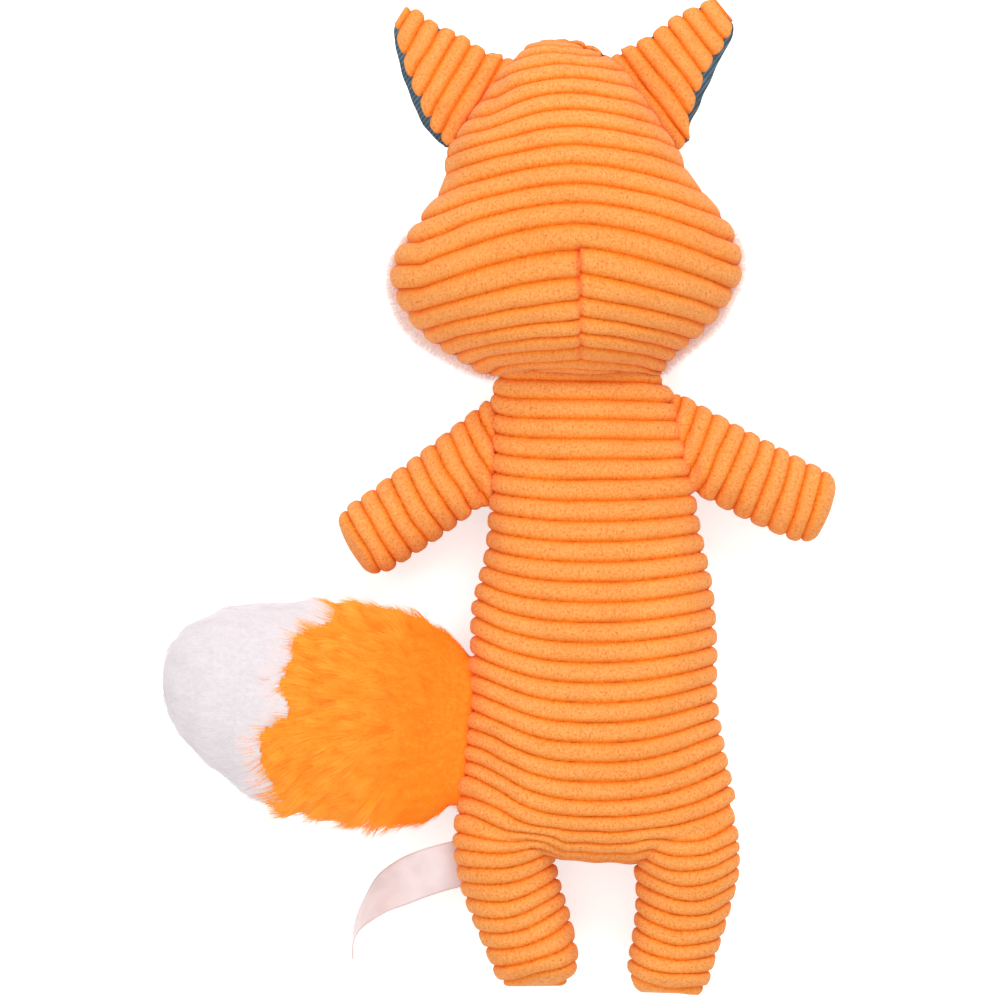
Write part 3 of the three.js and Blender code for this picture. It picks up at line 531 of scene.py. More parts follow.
def arm_spec(values):
    lean = math.radians(values["angle"])
    length = values["length"]
    thick = through((0, 8.6), (length * 0.1, 11.4), (length * 0.3, 13.2), (length, 12.5))
    return dict(
        values, tip_length=8.5, tip_half=7.4, root_radius=5, bow=0.9, turned_by=28,
        path=lambda far: (far * math.cos(lean), far * math.sin(lean) - values["bend"] * (far / length) ** 3),
        half=lambda far: 13.9 - 0.5 * ease(far, 25, 50), depth=thick, seam=seam_to(13.6, length * 0.8))


def make_arm(name, side):
    values = ARMS[name]
    spec = arm_spec(values)
    points, at, u = limb(spec, side, 0.45, 40)
    x, y = points[..., 0], points[..., 1]
    seed = 31 if name == "left" else 32
    # The ribs lie straight across the arm, a little off square to it
    lean, out = math.radians(values["angle"]), values["outward"]
    down = (out[1] * values["side"], -out[0] * values["side"])
    from_x, from_y = x - values["origin"][0], y - values["origin"][1]
    outer, lower = (from_x * way[0] + from_y * way[1] for way in (out, down))
    run = outer * math.cos(lean) + lower * math.sin(lean)
    off = lower * math.cos(lean) - outer * math.sin(lean)
    slant = off * mix(*values["slant"], ease(run, 5, 45))
    wale = (run - slant - (1 - u * u)) / 6.2 + values["start"] + 0.05 * drift(x, y, 20, seed)
    closing = ease(at, spec["length"] - 2.5, spec["length"])
    by_side = ease(np.abs(u), 0.75, 0.98)
    depth = RIB * (1.1 + 0.12 * drift(x, y, 14, seed + 10)) * (1 - 0.6 * closing)
    lump = 0.5 * drift(x, y, 22, seed + 20) * (1 - by_side)
    seam = 0.7 * ease(np.abs(u), 0.93, 1)
    ends = ease(at, -5, -2) * ease(at, spec["length"], spec["length"] - 1.2)
    points = pressed(points, side, (rib(wale, depth) + lump - seam) * ends, lowest=0.4)
    return panel(f"arm_{name}_{SIDES[side]}", points, side, wale=wale, along=13.5 * u, shade=0 * x)


LEGS = {
    "left": dict(
        origin=(1.1, HIP[1]), outward=(0, -1), length=63.2, inner=1, level=-118.3, pitch=5.37, centre=0.2,
        power=1.7, outer=0.6,
        shift=through((0, 0), (15, 0.2), (24, 1.2), (34, 4), (44, 7.6), (54, 10.5), (62.4, 11.6)),
        half=through((0, 14.4), (5, 16), (10, 16.9), (18, 17.2), (24, 16.8), (34, 16.2), (44, 15.7),
                     (62.4, 14))),
    "right": dict(
        origin=(63.5, HIP[1]), outward=(0, -1), length=65.5, inner=-1, level=-124.3, pitch=4.95,
        centre=63.5, power=2.4, outer=2.3,
        shift=through((0, -0.4), (15, -0.8), (24, -1.2), (34, -2.2), (44, -4.0), (54, -6.3), (64.8, -8.4)),
        half=through((0, 13.6), (5, 15.2), (10, 16.6), (18, 17.6), (24, 17.8), (34, 16.3), (44, 15.2),
                     (64.8, 13.8))),
}


def leg_spec(values):
    length = values["length"]
    depth = through(
        (0, 10), (6, 12.2), (10, 14.4), (14, 16.8), (18, 18), (25, 18), (length * 0.55, 16.8), (length, 15.5))
    return dict(
        values, side=-1, tip_length=8, tip_half=7.2,
        path=lambda far: (far, values["shift"](far)), depth=depth, seam=seam_to(16.3, length * 0.8))


def leg_wale(values, x, y):
    """The legs carry the back's wales on, which rise towards the inner side."""
    inward = np.clip((x - values["centre"]) * values["inner"] / 20, 0, 1.2) ** values["power"]
    outer = np.clip((values["centre"] - x) * values["inner"] / 10, 0, 1.8) ** 2 * values["outer"]
    rise = inward * mix(8.2, 4.6, ease(-y, 134, 158)) + outer
    return 25 - (y - rise - values["level"]) / values["pitch"]


def make_leg(name, side):
    values = LEGS[name]
    points, at, u = limb(leg_spec(values), side, 0.45, 60)
    x, y = points[..., 0], points[..., 1]
    seed = 51 if name == "left" else 52
    wale = back_wale(x, y, True) + 0.05 * drift(x, y, 20, seed) * ease(-y, 112, 122)
    by_side = ease(np.abs(u), 0.75, 0.98)
    depth = RIB * (0.9 + 0.15 * drift(x, y, 14, seed + 10) + 0.2 * by_side)
    lump = 0.6 * drift(x, y, 26, seed + 20) * (1 - by_side)
    seam = 0.5 * ease(np.abs(u), 0.96, 1)
    ends = ease(at, -3, 0) * ease(at, values["length"], values["length"] - 1.2)
    points = pressed(points, side, (rib(wale, depth) + lump - seam) * ends, lowest=0.4)
    return panel(f"leg_{name}_{SIDES[side]}", points, side, wale=wale, along=x, shade=0 * x)


EAR_LENGTH = 36.0
EARS = {
    "left": dict(origin=(-8.2, 132.6), outward=(-0.8628, 0.5056), side=-1, shift=11.6, half=17.9,
                 tip=3.9, bulge=2.5, wider=1.2, pitch=5.9, start=0.22),
    "right": dict(origin=(51.5, 133.9), outward=(0.7869, 0.6171), side=1, shift=8.5, half=16.4,
                  tip=6.0, bulge=-1.8, wider=0.1, pitch=6.1, start=0.1),
}


def ear_spec(values, lining):
    """The lining shows past the corduroy along the ear's outer edge only."""
    length, tuck = EAR_LENGTH, 1.8 * lining

    def show(far):
        return lining * 1.5 * ease(far, 0, 10)

    def half(far):
        share = np.clip(far / length, 0, 1)
        wider = values["wider"] * np.sin(np.pi * share ** 0.7)
        return mix(values["half"], values["tip"], share) + wider + (show(far) - tuck) / 2

    def path(far):
        bulge = values["bulge"] * np.sin(np.pi * np.clip(far / length, 0, 1) ** 0.7)
        return far, -values["shift"] * far / length + bulge + (show(far) + tuck) / 2

    return dict(
        values, length=length - 0.8 * lining, tip_length=4, tip_half=values["tip"] * 0.75 - lining,
        root_radius=6, turned_by=200, path=path, half=half, seam=lambda far: HEAD_SEAM + 0 * far,
        depth=through((0, 3.8), (14, 4.2), (EAR_LENGTH, 3.2)))


def make_ear(name, side):
    values = EARS[name]
    points, at, u = limb(ear_spec(values, 0 if side == UP else 1), side, 0.45, 52)
    x, y = points[..., 0], points[..., 1]
    seed = 71 if name == "left" else 72
    if side == UP:
        wale = at / values["pitch"] + values["start"] + 0.04 * drift(x, y, 18, seed)
        ends = ease(at, EAR_LENGTH, 35.3)
        seam = 0.5 * ease(np.abs(u), 0.9, 1)
        ribs = rib(wale, RIB * (1 + 0.3 * ease(np.abs(u), 0.7, 0.97)))
        height = ribs + 0.5 * drift(x, y, 16, seed + 1) - seam
        points = points + outward(points, side) * (height * ends)[..., None]
        return panel(f"ear_{name}_back", points, side, wale=wale, along=18 * u, shade=0 * x)
    curl = 1.1 * ease(np.abs(u), 0.82, 1) * ease(at, 1, 8)
    points = points + outward(points, side) * (0.25 * drift(x, y, 12, seed + 2))[..., None]
    points[..., 2] += curl - 0.15
    return panel(f"ear_{name}_lining", points, side)


# Tail

TAIL = dict(origin=(-13.4, -79.35), outward=(-0.9923, 0.1242), side=-1)
border = through(
    (-30, -59), (-42, -60), (-44.5, -67), (-51.3, -69.5), (-61.3, -73.3), (-73, -72.8), (-75.7, -77.6),
    (-83.3, -80.0), (-90, -79), (-96, -75.6), (-101, -73.4), (-112, -72))


def tail_spec():
    half = through((0, 24.8), (7, 30.6), (15, 32.5), (23, 34), (39, 34.8), (48, 34.7), (60, 33.6),
                   (66, 31.6), (73, 29.3), (82, 25.6), (90, 23), (101, 20.5))
    middle = through((0, -1.9), (15, -2.5), (23, -3.5), (50, -4.1), (60, -5), (73, -6.7), (82, -7.8),
                     (92, -8.2), (101, -8))
    depth = through((0, 8), (10, 13.5), (29, 22.4), (48, 24.2), (78, 21), (100, 17))
    return dict(
        TAIL, length=100.3, tip_length=20, tip_half=1.5, root_radius=5,
        path=lambda far: (far, middle(far)), half=half, depth=depth, seam=seam_to(25.4, 39))


def make_tail(side):
    points, at, u = limb(tail_spec(), side, 1.0, 72)
    x, y = points[..., 0], points[..., 1]
    past = border(y) + 1.1 - x
    tuft = drift(x * 0.5, y * 1.5, 9, 91) + 0.6 * drift(x * 0.6, y * 1.7, 5, 92)
    height = 1.1 * tuft * ease(at, 3, 20) * ease(past, 4, -6) + 0.35 * drift(x, y, 18, 93)
    seam = 0.8 * np.exp(-(past / 2.2) ** 2) * ease(np.abs(u), 0.95, 0.7)
    points = pressed(points, side, height - seam, lowest=1.2)
    normal = outward(points, side)
    # Combed from the root towards the tip, fanning down at the lower side
    fan = ease(u, -0.2, 1) * (1 - 0.65 * ease(at, 45, 80))
    rise = ease(-u, 0.3, 1) * 0.35
    out = TAIL["outward"]
    way_x = out[0] + 0 * x
    way_y = out[1] - 1.15 * fan + rise + 0.35 * drift(x, y, 14, 94)
    comb = combed(normal, way_x, way_y)
    low = ease(u, 0.45, 0.95) * (0.4 + 0.5 * drift(x, y, 7, 95)) * ease(at, 74, 60)
    pile = mix(0.45, 1, ease(at, -1, 16)) * mix(1, 0.8, ease(past, -2, 8)) * (1 + 0.5 * low)
    # The white is pinkish by the border; the orange is deeper by the body, and darker down between its locks
    # with painted shade
    blush = np.where(past < 0, 0.9 * ease(at, 36, 4), ease(past, 7, 0))
    lock = np.stack([at / 7 + 0.2 * drift(x, y, 12, 96), 34 * u / 2.4 + 0 * at, side * 9 + 0 * at], axis=-1)
    fields = {"comb": comb, "pile": pile, "blush": blush, "lock": lock, "skin_up": lit(normal)}
    body = panel(f"tail_{SIDES[side]}", points, side, past < 0, **fields)
    tip = panel(f"tail_tip_{SIDES[side]}", points, side, past >= 0, **fields)
    return body, tip


# Label

LABEL = dict(origin=(-13.84, -121.87, 20.2), out=(-0.9805, -0.1964), chord=(-0.1964, 0.9805))
LABEL_WIDTH, LABEL_SEWN_IN = 15.6, 2.0


def make_label():
    """A satin band that leaves the hip's seam flat and turns onto its edge as it droops."""
    origin, out, chord = (np.array(LABEL[k]) for k in ("origin", "out", "chord"))
    on_edge = LABEL_WIDTH / 2 + 0.4

    def at(reach, sweep, z):
        return np.array([*(origin[:2] + out * reach - chord * sweep), z])

    reach, sweep = 41, 24.5
    knots = [at(-LABEL_SEWN_IN, 0, origin[2]), at(reach * 0.36, 0, origin[2]),
             at(reach * 0.95, sweep * 0.15, on_edge), at(reach, sweep, on_edge)]
    t = np.linspace(0, 1, 400)[:, None]
    line = sum(math.comb(3, k) * t ** k * (1 - t) ** (3 - k) * knots[k] for k in range(4))
    run = np.concatenate([[0], np.cumsum(np.linalg.norm(np.diff(line, axis=0), axis=1))])
    even = np.linspace(0, run[-1], 105)
    line = np.stack([np.interp(even, run, line[:, k]) for k in range(3)], axis=1)
    tangent = np.gradient(line, axis=0)
    tangent /= np.linalg.norm(tangent, axis=1, keepdims=True)
    level = np.cross(tangent, (0, 0, 1))
    level *= np.sign(level @ np.array([*chord, 0]))[:, None] / np.linalg.norm(level, axis=1)[:, None]
    steep = np.cross(tangent, level)
    steep *= -np.sign(steep[:, 2])[:, None]
    share = even / run[-1]
    turn = (np.pi / 2 * ease(share, 0.15, 0.95))[:, None]
    width = level * np.cos(turn) + steep * np.sin(turn)
    normal = np.cross(width, tangent)
    normal *= np.where(normal[:1, 2:] < 0, -1, 1)
    v = np.linspace(-0.5, 0.5, 19)
    ripple = 0.35 * np.sin(share * 21)[:, None] * np.cos(v * 5) * np.sin(share * np.pi)[:, None]
    points = (line[:, None] + width[:, None] * (v * LABEL_WIDTH)[None, :, None]
              + normal[:, None] * ripple[..., None])
    rows, columns = points.shape[:2]
    faces = grid(rows, columns)[1]
    along = np.broadcast_to(even[:, None], (rows, columns))
    wide = np.broadcast_to(v[None] * LABEL_WIDTH, (rows, columns))
    piece = mesh_piece(
        "label_band", points, faces.reshape(-1, 4).tolist(), along=along.ravel(), wide=wide.ravel())
    solid = piece.modifiers.new("thickness", "SOLIDIFY")
    solid.thickness, solid.offset = 0.35 * MM, 0
    return baked(piece), run[-1]


# Nodes

def linear(hex_colour):
    parts = (int(hex_colour[k:k + 2], 16) / 255 for k in (1, 3, 5))
    return (*(c / 12.92 if c <= 0.04045 else ((c + 0.055) / 1.055) ** 2.4 for c in parts), 1)


def plug(node, inputs):
    """Sets or links a node's inputs, each by its name or by its place among those in use."""
    usable = [socket for socket in node.inputs if socket.enabled]
    for key, value in inputs.items():
        target = usable[key] if isinstance(key, int) else next(s for s in usable if s.name == key)
        if isinstance(value, bpy.types.NodeSocket):
            node.id_data.links.new(value, target)
        else:
            target.default_value = value


def add(tree, kind, *inputs, out=None, stops=(), **words):
    """Adds a node and gives its output. Words with a capital are inputs, the others are settings."""
    made = tree.nodes.new(kind if "Node" in kind else "ShaderNode" + kind)
    for word, value in words.items():
        if word.islower():
            setattr(made, word, value)
    if stops:
        ramp = made.color_ramp.elements
        for point, (position, colour) in zip((ramp[0], ramp[1]), (stops[0], stops[-1])):
            point.position, point.color = position, linear(colour)
        for position, colour in stops[1:-1]:
            ramp.new(position).color = linear(colour)
    named = {word.replace("_", " "): value for word, value in words.items() if not word.islower()}
    plug(made, dict(enumerate(inputs)) | named)
    return made.outputs[out] if out else next((s for s in made.outputs if s.enabled), None)


def material(name, finish, **uniform):
    """A material from finish(node): its colour, roughness and layers of relief, each with a height, its
    depth in millimetres and its strength. What is the same all over stays on the shader."""
    made = bpy.data.materials.new(name)
    made.use_nodes = True
    node = partial(add, made.node_tree)
    looks = uniform | finish(node)
    for height, depth, strength in looks.pop("relief", ()):
        below = {"Normal": looks["Normal"]} if "Normal" in looks else {}
        looks["Normal"] = node("Bump", Height=height, Distance=depth * MM, Strength=strength, **below)
    looks = {word.replace("_", " "): value for word, value in looks.items()}
    plug(made.node_tree.nodes["Principled BSDF"], looks)
    return made


def tinted(node, colour, share, value, *stops):
    """A colour with a tone over it that follows a value."""
    tone = node("ValToRGB", value, stops=stops)
    return node("Mix", share, colour, tone, data_type="RGBA", blend_type="MULTIPLY")


# Finishes

def corduroy_finish(node):
    """Cut pile in wide wales: pale round ribs of tufts, and thin warm furrows with toothed edges; the colour
    darkens towards the furrows, partly their own deeper orange, partly painted shade.
    """
    at = node("TexCoord", out="Object")
    wale, along, shade = (
        node("Attribute", attribute_name=name, out="Fac") for name in ("wale", "along", "shade"))

    def on_cloth(per_mm, per_wale):
        """A place on the cloth, stretched along its ribs and across them."""
        return node("CombineXYZ", node("Math", along, per_mm, operation="MULTIPLY"),
                    node("Math", wale, per_wale, operation="MULTIPLY"))

    tooth = node("Math", node("TexNoise", on_cloth(1.25, 1.0), 1.0, 2.0, 0.6), 0.5, operation="SUBTRACT")
    edge = node("Math", tooth, 0.2, wale, operation="MULTIPLY_ADD")
    edge = node("Math", node("Math", edge, 0.5, operation="PINGPONG"), 2.0, operation="MULTIPLY")
    strokes = node("TexNoise", on_cloth(1.5, 3.2), 1.0, 2.0, 0.6)
    tufts = node("TexVoronoi", on_cloth(1.3, 8.0), Scale=1.0, Randomness=0.9)
    patch = node("TexNoise", at, 34.0, 3.0, 0.5)
    fine = node("TexNoise", at, 1250.0, 3.0, 0.7)
    # Dark specks gather along the middle of the ribs, where the pile parts
    dash = node("Math", node("TexNoise", on_cloth(1.3, 8.0), 1.1, 2.0, 0.6), 0.58, operation="GREATER_THAN")
    middle = node("Math", edge, 0.7, -0.1, operation="MULTIPLY_ADD", use_clamp=True)
    dash = node("Math", dash, middle, operation="MULTIPLY")
    # Darker from the rib's crest down to its furrow: partly the furrow's own deeper orange, partly painted
    # shade where the rib rounds down into it
    colour = node("ValToRGB", edge, stops=(
        (0.0, "#F67406"), (0.08, "#FC881C"), (0.2, "#FF9A3E"), (0.4, "#FFA854"), (1.0, "#FFB266")))
    colour = node("Mix", dash, colour, linear("#E8701A"), data_type="RGBA")
    colour = tinted(node, colour, 0.7, strokes, (0.3, "#F6DCC4"), (0.55, "#FFFFFF"))
    colour = tinted(node, colour, 1.0, patch, (0.3, "#FAF2EA"), (0.7, "#FFFFFF"))
    colour = tinted(node, colour, 0.8, fine, (0.36, "#EBCDAE"), (0.52, "#FFFFFF"))
    # Painted shade: the dart's crease, from the shade attribute, darkened to a deep red-orange
    fold = node("Math", shade, 0.9, operation="MULTIPLY")
    colour = node("Mix", fold, colour, linear("#F0420A"), data_type="RGBA")
    return dict(Base_Color=colour, relief=[(tufts, 0.4, -0.5), (strokes, 0.3, 0.5), (fine, 0.2, 0.6)])


def plush_finish(node):
    """Short white plush: soft matted tufts, with a little painted grey shade where they dip between them."""
    at = node("TexCoord", out="Object")
    tufts = node("TexNoise", at, 420.0, 4.0, 0.6)
    patch = node("TexNoise", at, 60.0, 2.0, 0.5)
    # Painted shade: greyer where the tufts' relief dips
    colour = node("ValToRGB", tufts, stops=((0.3, "#DDD2D0"), (0.55, "#F1EAEA"), (0.8, "#F8F3F2")))
    colour = tinted(node, colour, 0.5, patch, (0.35, "#EFE6E4"), (0.65, "#FFFFFF"))
    return dict(Base_Color=colour, relief=[(tufts, 0.9, 0.7)])


def strand_finish(root, middle, tip, between, blush=None, stain=None):
    """Long pile: strands from a deeper root colour to a paler tip, in locks that are darker between; the
    deeper roots are partly the fibre's own tone, partly painted shade deep in the pile, and the darker gaps
    between the locks are painted shade.
    """
    def finish(node):
        at = node("TexCoord", out="Object")
        height, tone = (node("Attribute", attribute_name=name, out="Fac") for name in ("tip", "tone"))
        height = node("Math", tone, 0.35, height, operation="MULTIPLY_ADD")
        height = node("Math", node("TexNoise", at, 70.0, 3.0, 0.55), 0.3, height, operation="MULTIPLY_ADD")
        height = node("Math", height, 0.66, operation="MULTIPLY")
        # Deeper at the root: partly the fibre's own tone, partly painted shade deep in the pile, whose
        # strands cast none
        colour = node("ValToRGB", height, stops=((0.08, root), (0.45, middle), (0.85, tip)))
        # Painted shade: the gaps between the locks darkened
        locks = node("TexNoise", node("Attribute", attribute_name="lock", out="Vector"), 1.0, 2.0, 0.6)
        colour = tinted(node, colour, 1.0, locks, (0.38, between), (0.56, "#FFFFFF"))
        if stain:
            spots = node("Math", node("TexNoise", at, 46.0, 3.0, 0.7), 0.63, operation="GREATER_THAN")
            spots = node("Math", spots, 0.2, operation="MULTIPLY")
            colour = node("Mix", spots, colour, linear(stain), data_type="RGBA")
        if blush:
            share = node("Attribute", attribute_name="blush", out="Fac")
            colour = node("Mix", share, colour, linear(blush), data_type="RGBA")
        return dict(Base_Color=colour)
    return finish


def backing_finish(dark, light):
    """The knitted backing of the pile, seen between the strands: mottled, and streaked by the roots."""
    def finish(node):
        roots = node("TexNoise", node("TexCoord", out="Object"), 620.0, 3.0, 0.6)
        colour = node("ValToRGB", roots, stops=((0.35, dark), (0.65, light)))
        return dict(Base_Color=colour, relief=[(roots, 0.6, 0.5)])
    return finish


def satin_finish(node):
    """Woven satin ribbon: fine lengthwise floats that stretch the highlight, a selvedge at both edges."""
    along, wide = (node("Attribute", attribute_name=name, out="Fac") for name in ("along", "wide"))
    weave = node("CombineXYZ", node("Math", along, 1.3, operation="MULTIPLY"),
                 node("Math", wide, 7.0, operation="MULTIPLY"))
    floats = node("TexNoise", weave, 1.0, 2.0, 0.5)
    patch = node("TexNoise", node("TexCoord", out="Object"), 120.0, 2.0, 0.5)
    colour = node("ValToRGB", patch, stops=((0.3, "#E2CFCF"), (0.7, "#EEDFE0")))
    selvedge = node("Math", node("Math", wide, operation="ABSOLUTE"), 7.2, operation="GREATER_THAN")
    selvedge = node("Math", selvedge, 0.5, operation="MULTIPLY")
    colour = node("Mix", selvedge, colour, linear("#DCC3BF"), data_type="RGBA")
    rough = node("Math", floats, 0.25, 0.3, operation="MULTIPLY_ADD")
    return dict(Base_Color=colour, Roughness=rough, relief=[(floats, 0.08, 0.6)])


def twill_finish(node):
    """Navy twill lining: diagonal ridges, drawn 1.3 mm apart to show, with a worn blue on their tops."""
    at = node("TexCoord", out="Object")
    slanted = node("Mapping", at, Rotation=(0, 0, math.radians(38)))
    ridges = node("TexWave", slanted, Scale=250.0, Distortion=1.2, Detail=2.0, Detail_Scale=3.0, out="Fac")
    worn = node("Math", ridges, 0.3, operation="MULTIPLY")
    worn = node("Math", node("TexNoise", at, 160.0, 3.0, 0.6), 0.7, worn, operation="MULTIPLY_ADD")
    colour = node("ValToRGB", worn, stops=((0.25, "#22394A"), (0.5, "#35505F"), (0.8, "#6B8CA6")))
    return dict(Base_Color=colour, relief=[(ridges, 0.2, 0.6)])


def thread_finish(node):
    """Satin-stitched black thread: parallel strands, drawn 1 mm apart to show, glossier on their tops."""
    slanted = node("Mapping", node("TexCoord", out="Object"), Rotation=(0, 0, math.radians(8)))
    strands = node("TexWave", slanted, Scale=300.0, Distortion=0.8, Detail=1.0, out="Fac")
    colour = node("ValToRGB", strands, stops=((0.1, "#0E0D0E"), (0.9, "#2C292B")))
    rough = node("Math", strands, -0.2, 0.6, operation="MULTIPLY_ADD")
    return dict(Base_Color=colour, Roughness=rough, relief=[(strands, 0.25, 0.8)])


def filling_finish(node):
    """Polyester fibre filling: matted white fibres in loose clumps."""
    at = node("TexCoord", out="Object")
    clumps = node("TexNoise", at, 90.0, 5.0, 0.7)
    fibres = node("TexNoise", at, 900.0, 3.0, 0.6)
    colour = node("ValToRGB", clumps, stops=((0.3, "#E4E2DC"), (0.7, "#F9F8F4")))
    return dict(Base_Color=colour, relief=[(clumps, 2.0, 0.6), (fibres, 0.3, 0.6)])


def plastic_finish(node):
    """Blow-moulded soft plastic: nearly smooth, a faint flow pattern and slightly uneven gloss."""
    at = node("TexCoord", out="Object")
    flow = node("TexNoise", at, 60.0, 2.0, 0.5)
    colour = node("ValToRGB", flow, stops=((0.3, "#DDE1E2"), (0.7, "#F0F3F3")))
    rough = node("Math", flow, 0.15, 0.28, operation="MULTIPLY_ADD")
    grain = node("TexNoise", at, 1400.0, 2.0, 0.5)
    return dict(Base_Color=colour, Roughness=rough, relief=[(grain, 0.05, 0.4)])


corduroy = material("wide_wale_corduroy_plush", corduroy_finish, Roughness=0.92, Sheen_Weight=0.12,
                    Sheen_Roughness=0.5, Specular_IOR_Level=0.15)
plush = material("short_white_plush", plush_finish, Roughness=0.95, Sheen_Weight=0.15,
                 Specular_IOR_Level=0.15)
pile_gloss = dict(Specular_IOR_Level=0.15, Sheen_Weight=0.1)
orange_pile = material("long_pile_orange_fur", strand_finish(
    "#FF860A", "#FFA02E", "#FFB34C", "#FFCE98", "#FF8008"), Roughness=0.8, **pile_gloss)
white_pile = material("long_pile_white_fur", strand_finish(
    "#E1D8DB", "#E7DFE3", "#F3EDF0", "#F4F0F2", "#F6DAD4", "#D4CED2"), Roughness=0.85, **pile_gloss)
cheek_pile = material("short_pile_cheek_fur", strand_finish(
    "#FADFD8", "#FFEEEA", "#FFF6F4", "#FFFFFF"), Roughness=0.85, **pile_gloss)
orange_backing, white_backing, cheek_backing = (
    material(f"{name}_knitted_backing", backing_finish(dark, light), Roughness=0.9)
    for name, dark, light in (("orange", "#FF860C", "#FF9820"), ("white", "#DED5D8", "#E9E1E5"),
                              ("cheek", "#F6DDD6", "#FFEDE8")))
satin = material("woven_satin_ribbon", satin_finish, Specular_IOR_Level=0.4, Anisotropic=0.5)
navy = material("navy_twill_lining", twill_finish, Roughness=0.7, Sheen_Weight=0.3)
black = material("satin_stitched_thread", thread_finish, Specular_IOR_Level=0.4)
filling = material("polyester_fibre_filling", filling_finish, Roughness=0.98)
plastic = material("blow_moulded_plastic", plastic_finish, Specular_IOR_Level=0.45)


# Fur

def strand_template(name, radius):
    """One strand of pile, a unit long: three-sided, tapered and curled over towards +X."""
    points = [
        (bend + radius * wide * math.cos(k * math.tau / 3), radius * wide * math.sin(k * math.tau / 3), z)
        for z, wide, bend in ((0.0, 1.0, 0.0), (0.55, 0.85, 0.07)) for k in range(3)]
    points.append((0.28, 0, 0.97))
    faces = [[2, 1, 0]] + [[k, (k + 1) % 3, 3 + (k + 1) % 3, 3 + k] for k in range(3)]
    faces += [[3 + k, 3 + (k + 1) % 3, 6] for k in range(3)]
    tip = [0.0] * 3 + [0.55] * 3 + [1.0]
    return mesh_piece(name, np.array(points) / MM, faces, tip=tip)


def fur_tree():
    """Scatters strands over a skin, laid down the way its pile is combed."""
    tree = bpy.data.node_groups.new("combed_pile", "GeometryNodeTree")
    tree.interface.new_socket("Geometry", in_out="OUTPUT", socket_type="NodeSocketGeometry")
    for name, kind in (("Geometry", "Geometry"), ("Strand", "Object"), ("Density", "Float"),
                       ("Length", "Float"), ("Lean", "Float"), ("Ruffle", "Float"), ("Seed", "Int"),
                       ("Finish", "Material")):
        tree.interface.new_socket(name, in_out="INPUT", socket_type="NodeSocket" + kind)
    node = partial(add, tree)
    given = node("NodeGroupInput").node.outputs
    comb, pile, skin_up = (
        node("GeometryNodeInputNamedAttribute", Name=name, data_type=kind)
        for name, kind in (("comb", "FLOAT_VECTOR"), ("pile", "FLOAT"), ("skin_up", "FLOAT_VECTOR")))
    points = node("GeometryNodeDistributePointsOnFaces", Mesh=given["Geometry"], Density=given["Density"],
                  Seed=given["Seed"])
    jitter = node("FunctionNodeRandomValue", Min=(-0.16,) * 3, Max=(0.16,) * 3, Seed=given["Seed"],
                  data_type="FLOAT_VECTOR")
    # Tufts part sideways more than they rise
    tuft = node("VectorMath", node("TexNoise", Scale=150.0, Detail=1.0, out="Color"), (0.5, 0.5, 0.5),
                operation="SUBTRACT")
    tuft = node("VectorMath", tuft, Scale=given["Ruffle"], operation="SCALE")
    tuft = node("VectorMath", tuft, (1.0, 1.0, 0.35), operation="MULTIPLY")
    way = node("Mix", given["Lean"], points.node.outputs["Normal"], comb, data_type="VECTOR")
    way = node("VectorMath", way, jitter, operation="ADD")
    way = node("VectorMath", way, tuft, operation="ADD")
    # Each strand curls away from the light, so that its back faces it
    inwards = node("VectorMath", skin_up, Scale=-1.0, operation="SCALE")
    stand = node("FunctionNodeAlignRotationToVector", Vector=way, axis="Z")
    curl = node("FunctionNodeAlignRotationToVector", Rotation=stand, Vector=inwards, axis="X",
                pivot_axis="Z")
    vary = node("FunctionNodeRandomValue", Min=0.65, Max=1.1, Seed=7, data_type="FLOAT")
    size = node("Math", given["Length"], pile, operation="MULTIPLY")
    size = node("Math", size, vary, operation="MULTIPLY")
    strand = node("GeometryNodeObjectInfo", Object=given["Strand"], out="Geometry")
    laid = node("GeometryNodeInstanceOnPoints", Points=points, Instance=strand, Rotation=curl, Scale=size)
    tone = node("FunctionNodeRandomValue", Min=0.0, Max=1.0, Seed=11, data_type="FLOAT")
    laid = node("GeometryNodeStoreNamedAttribute", Geometry=laid, Name="tone", Value=tone,
                data_type="FLOAT", domain="INSTANCE")
    real = node("GeometryNodeRealizeInstances", laid)
    node("NodeGroupOutput", node("GeometryNodeSetMaterial", Geometry=real, Material=given["Finish"]))
    return tree


def grow_fur(name, skin, on="outer_faces", **values):
    """The pile on the outer side of a skin, as a mesh of its own; on a cheek it grows on its edges too."""
    piece = skin.copy()
    piece.data = skin.data.copy()
    piece.name = name
    work = bmesh.new()
    work.from_mesh(piece.data)
    work.faces.ensure_lookup_table()
    bmesh.ops.delete(work, geom=work.faces[skin[on]:], context="FACES")
    work.to_mesh(piece.data)
    work.free()
    bpy.context.scene.collection.objects.link(piece)
    growth = piece.modifiers.new("pile", "NODES")
    growth.node_group = fur
    for item in fur.interface.items_tree:
        if item.in_out == "INPUT" and item.name in values:
            growth[item.identifier] = values[item.name]
    baked(piece)
    piece.data.name = name
    reshaped(piece, lambda points: np.maximum(points[:, 2], LOWEST))
    piece.data.polygons.foreach_set("use_smooth", np.zeros(len(piece.data.polygons), bool))
    # Real pile lets the light through to the strands below it, so these don't shade one another
    piece.visible_shadow = piece.visible_diffuse = False
    return piece


